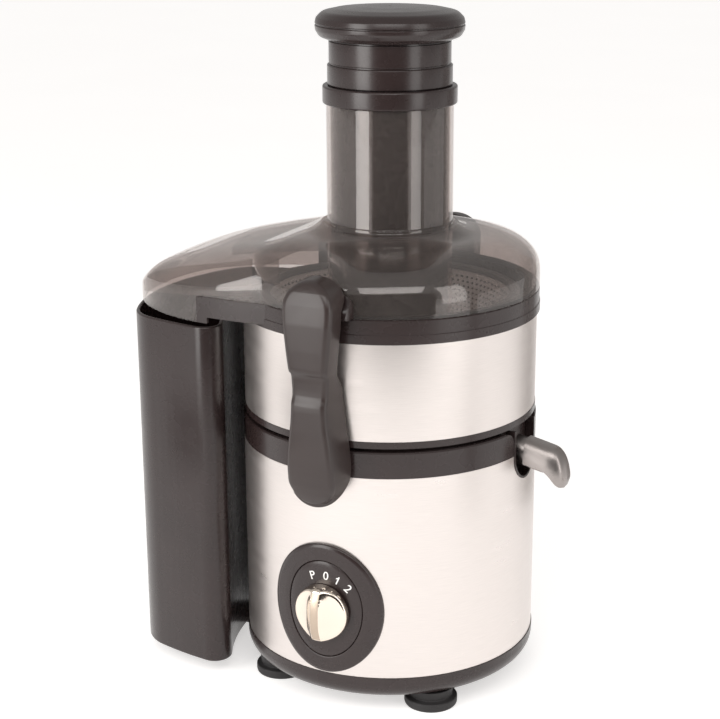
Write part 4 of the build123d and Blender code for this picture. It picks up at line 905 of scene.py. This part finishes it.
# ---- pulp bin ----
def top_loops(node):
    """Closed loops of points round a CAD node's flat top face, longest first."""
    mesh = NODES[node].data
    top = max(v.co.z for v in mesh.vertices)
    shape = bmesh.new()
    shape.from_mesh(mesh)
    bmesh.ops.remove_doubles(shape, verts=shape.verts, dist=0.004 * MM)
    flat = [f for f in shape.faces if all(abs(v.co.z - top) < 1e-6 for v in f.verts)]
    inside = set(flat)
    rim = [e for e in shape.edges if sum(f in inside for f in e.link_faces) == 1]
    links = {}
    for e in rim:
        a, b = e.verts
        links.setdefault(a.index, []).append(b.index)
        links.setdefault(b.index, []).append(a.index)
    shape.verts.ensure_lookup_table()
    loops, seen = [], set()
    for first in links:
        if first in seen:
            continue
        loop, here, before = [], first, None
        while here not in seen:
            seen.add(here)
            loop.append(here)
            ahead = [n for n in links[here] if n != before]
            before, here = here, ahead[0]
        loops.append(np.array([tuple(shape.verts[i].co)[:2] for i in loop]) / MM)
    shape.free()
    return sorted(loops, key=loop_length, reverse=True)


def loop_length(loop):
    """Length round a closed loop of points."""
    return float(np.linalg.norm(np.roll(loop, -1, axis=0) - loop, axis=1).sum())


def even_loop(loop, count):
    """The loop with evenly spaced points, turning anticlockwise."""
    ring = np.vstack([loop, loop[:1]])
    x, y = ring[:, 0], ring[:, 1]
    if np.sum(x[:-1] * y[1:] - x[1:] * y[:-1]) < 0:
        ring = ring[::-1]
    along = np.concatenate([[0], np.cumsum(np.linalg.norm(np.diff(ring, axis=0), axis=1))])
    at = np.linspace(0, along[-1], count, endpoint=False)
    return np.column_stack([np.interp(at, along, ring[:, 0]), np.interp(at, along, ring[:, 1])])


def inset_loop(loop, distance):
    """The loop moved inwards by a distance."""
    ahead = np.roll(loop, -1, axis=0) - np.roll(loop, 1, axis=0)
    inward = np.column_stack([-ahead[:, 1], ahead[:, 0]])
    inward /= np.linalg.norm(inward, axis=1)[:, None]
    return loop + inward * distance


def make_bin():
    """Pulp bin with a rounded lip and a rounded foot."""
    low, high = box_mm("pulp_bin")
    z0, z1 = low[2], high[2]
    wall, floor = 2.5, z0 + 3.0
    loop = even_loop(top_loops("pulp_bin")[0], 420)
    profile = rounded([(3.2, z0, 0.5), (0.0, z0, 3.0), (0.0, z1, 1.1), (wall, z1, 1.1),
                       (wall, floor, 4.0), (9.0, floor)], False, 6)
    rings = []
    for inset, z in profile:
        flat = inset_loop(loop, inset)
        rings.append(np.column_stack([flat, np.full(len(flat), z)]))
    verts, faces = loft(rings, False, "flat", "flat")
    return piece("bin_shell", verts, faces, "bin", "black_plastic", ("pulp_bin",))


# ---- feet and basket ----
def make_feet():
    """Four rubber feet with a flared pad, a groove and a recess for the screw."""
    low, high = box_mm("rubber_feet")
    z0, z1 = low[2], high[2]
    pitch = 54.5
    r = high[0] - pitch
    centres = [(sx * pitch, sy * pitch) for sx in (1, -1) for sy in (1, -1)]
    points = [(5.5, z0, 0.4), (r - 0.6, z0, 0.9), (r, z0 + 1.6, 0.8), (r, z0 + 5.6, 1.1),
              (r - 2.0, z0 + 6.1, 0.6), (r - 3.4, z0 + 6.6, 0.5), (r - 3.1, z0 + 8.0, 0.6),
              (r - 2.6, z1 - 0.4, 0.3), (r - 2.6, z1), (2.2, z1), (2.2, z0 + 4), (5.5, z0 + 4)]
    return turned("foot_pads", points, "base", "rubber", ("rubber_feet",), count=72,
                  centres=centres)


def make_strainer():
    """Conical strainer wall pierced with staggered rows of round holes."""
    low, high = box_mm("filter_mesh")
    z0, z1 = low[2], high[2]
    r0, r1 = 48.0, high[0] - 0.8
    around, rows, thick = 110, 16, 0.8

    def point(u, v, out):
        r = r0 + (r1 - r0) * v + out * thick
        a = 2 * math.pi * u / around
        return (r * math.cos(a), r * math.sin(a), z0 + (z1 - z0) * v)

    square = [(0, 0), (0.5, 0), (1, 0), (1, 0.5), (1, 1), (0.5, 1), (0, 1), (0, 0.5)]
    hole = [(0.5 + 0.27 * math.cos(a), 0.5 + 0.27 * math.sin(a))
            for a in np.radians([225, 270, 315, 0, 45, 90, 135, 180])]
    verts, faces = [], []
    for row in range(rows):
        v0, v1 = 0.05 + 0.9 * row / rows, 0.05 + 0.9 * (row + 1) / rows
        for cell in range(around):
            first = len(verts)
            for out in (1, 0):
                for shape in (square, hole):
                    verts += [point(cell + s + 0.5 * (row % 2), v0 + (v1 - v0) * t, out)
                              for s, t in shape]
            for k in range(8):
                j = (k + 1) % 8
                faces.append((first + k, first + j, first + 8 + j, first + 8 + k))
                faces.append((first + 16 + j, first + 16 + k, first + 24 + k, first + 24 + j))
                faces.append((first + 8 + k, first + 8 + j, first + 24 + j, first + 24 + k))
    for v0, v1 in ((0.0, 0.05), (0.95, 1.0)):
        for cell in range(2 * around):
            first = len(verts)
            for out in (1, 0):
                verts += [point(cell / 2, v0, out), point(cell / 2 + 0.5, v0, out),
                          point(cell / 2 + 0.5, v1, out), point(cell / 2, v1, out)]
            faces += [(first, first + 1, first + 2, first + 3),
                      (first + 7, first + 6, first + 5, first + 4)]
            side = (first, first + 4, first + 5, first + 1) if v0 == 0.0 else (
                first + 3, first + 2, first + 6, first + 7)
            faces.append(side)
    return piece("strainer_wall", verts, faces, "spinner", "stainless", ("filter_mesh",))


# ---- stage ----
def towards(azimuth, elevation, distance, centre=(0.0, 0.0, 0.25)):
    """Point at a distance from the object's middle; azimuth 0 is the -Y side, 90 the +X side."""
    a, e = math.radians(azimuth), math.radians(elevation)
    return Vector(centre) + distance * Vector((math.sin(a) * math.cos(e),
                                               -math.cos(a) * math.cos(e), math.sin(e)))


def softbox(name, azimuth, elevation, distance, width, height, radiance):
    """Square light that faces the object."""
    light = bpy.data.lights.new(name, "AREA")
    light.shape = "RECTANGLE"
    light.size, light.size_y = width, height
    light.energy = radiance * math.pi * width * height
    light.color = (1.0, 0.985, 0.965)
    lamp = bpy.data.objects.new(name, light)
    lamp.location = towards(azimuth, elevation, distance)
    aim = Vector((0, 0, 0.25)) - lamp.location
    lamp.rotation_euler = aim.to_track_quat("-Z", "Y").to_euler()
    lamp.visible_camera = False
    bpy.context.scene.collection.objects.link(lamp)


def stage_plane(name, corners, colour, seen=True, glow=0.0):
    """Flat stage piece such as the floor or a card beside the object."""
    mesh = bpy.data.meshes.new(name)
    mesh.from_pydata(corners, [], [(0, 1, 2, 3)])
    plane = bpy.data.objects.new(name, mesh)
    material, tree, shader = start_material(name)
    here = coordinates(tree)
    dark, light = spread(colour, 0.01)
    tree.links.new(two_tone(tree, noise(tree, here, 3), dark, light), shader.inputs["Base Color"])
    shader.inputs["Roughness"].default_value = 0.9
    shader.inputs["Specular IOR Level"].default_value = 0.1
    shader.inputs["Emission Color"].default_value = (1.0, 0.985, 0.975, 1)
    shader.inputs["Emission Strength"].default_value = glow
    mesh.materials.append(material)
    plane.visible_camera = seen
    plane.visible_shadow = seen
    bpy.context.scene.collection.objects.link(plane)


def hidden_plane(name, corners, shade):
    """Stage plane that only reflections see."""
    stage_plane(name, [tuple(c) for c in corners], (shade, shade * 0.95, shade * 0.92), False)


def make_world():
    """Even white studio walls."""
    world = bpy.data.worlds.new("studio")
    world.use_nodes = True
    tree = world.node_tree
    output = next(n for n in tree.nodes if n.type == "OUTPUT_WORLD")
    walls = next(n for n in tree.nodes if n.type == "BACKGROUND")
    walls.inputs["Color"].default_value = (1.0, 0.985, 0.97, 1)
    walls.inputs["Strength"].default_value = 0.52
    backdrop = new_node(tree, "ShaderNodeBackground",
                        {"Color": (1, 1, 1, 1), "Strength": 1.1})
    path = new_node(tree, "ShaderNodeLightPath")
    mixed = new_node(tree, "ShaderNodeMixShader",
                     {0: path.outputs["Is Camera Ray"], 1: walls.outputs[0],
                      2: backdrop.outputs[0]})
    tree.links.new(mixed.outputs[0], output.inputs["Surface"])
    bpy.context.scene.world = world


def card(name, azimuth, distance, half, top, shade):
    """Upright card that only reflections see."""
    a = math.radians(azimuth)
    middle = Vector((math.sin(a), -math.cos(a), 0)) * distance
    across = Vector((math.cos(a), math.sin(a), 0)) * half
    foot, head = Vector((0, 0, 0.002)), Vector((0, 0, top))
    corners = [middle - across + foot, middle + across + foot, middle + across + head,
               middle - across + head]
    hidden_plane(name, corners, shade)


def floor_flag(name, azimuths, near, far, shade):
    """Dark patch on the floor that only reflections see."""
    corners = [(math.sin(math.radians(a)) * d, -math.cos(math.radians(a)) * d, 0.001)
               for a, d in zip((azimuths[0], azimuths[1], azimuths[1], azimuths[0]),
                               (near, near, far, far))]
    hidden_plane(name, corners, shade)


def make_stage():
    """Floor, lights and the cards that give gloss and steel something dark to mirror."""
    size = 6.0
    stage_plane("floor", [(-size, -size, 0), (size, -size, 0), (size, size, 0),
                          (-size, size, 0)], (0.82, 0.815, 0.81), True, 0.55)
    make_world()
    softbox("key_left", CAM_AZIMUTH - 50, 12, 1.35, 0.62, 1.30, 5.4)
    softbox("key_right", CAM_AZIMUTH + 47, 12, 1.35, 0.46, 1.30, 2.6)
    softbox("key_top", CAM_AZIMUTH, 38, 1.30, 1.00, 0.55, 3.4)
    card("flag_front", CAM_AZIMUTH, 0.90, 0.58, 0.60, 0.03)
    floor_flag("flag_floor", (-57, -17), 0.60, 0.88, 0.05)
    card("card_right", 83, 0.42, 0.022, 0.42, 0.35)
    card("card_behind", 146, 0.36, 0.085, 0.42, 0.40)


def make_camera():
    """Camera at the object's front right, looking down."""
    lens = bpy.data.cameras.new("camera")
    lens.lens = CAM_LENS
    lens.sensor_width = 36.0
    lens.shift_x = CAM_SHIFT_X
    lens.clip_start, lens.clip_end = 0.05, 50
    camera = bpy.data.objects.new("camera", lens)
    a = math.radians(CAM_AZIMUTH)
    camera.location = (math.sin(a) * CAM_DISTANCE, -math.cos(a) * CAM_DISTANCE, CAM_HEIGHT)
    camera.rotation_euler = (math.radians(90 - CAM_PITCH), 0, a)
    bpy.context.scene.collection.objects.link(camera)
    bpy.context.scene.camera = camera


# ---- build ----
dress_cad_nodes()
make_camera()
make_stage()
make_lid()
make_lid_ribs()
make_lugs()
make_chute_top()
make_arm("front_latch_arm", -1, "front_latch_body", "front_latch")
make_arm("rear_latch_arm", 1, "rear_latch_body", "rear_latch")
KNOB_Z, DIAL_FACE = make_panel()
make_scale(KNOB_Z, DIAL_FACE)
make_knob()
make_spout_tube()
make_spout_hood()
make_bin()
make_feet()
make_strainer()

scene = bpy.context.scene
scene.view_settings.view_transform = "Standard"
scene.cycles.transparent_max_bounces = 32
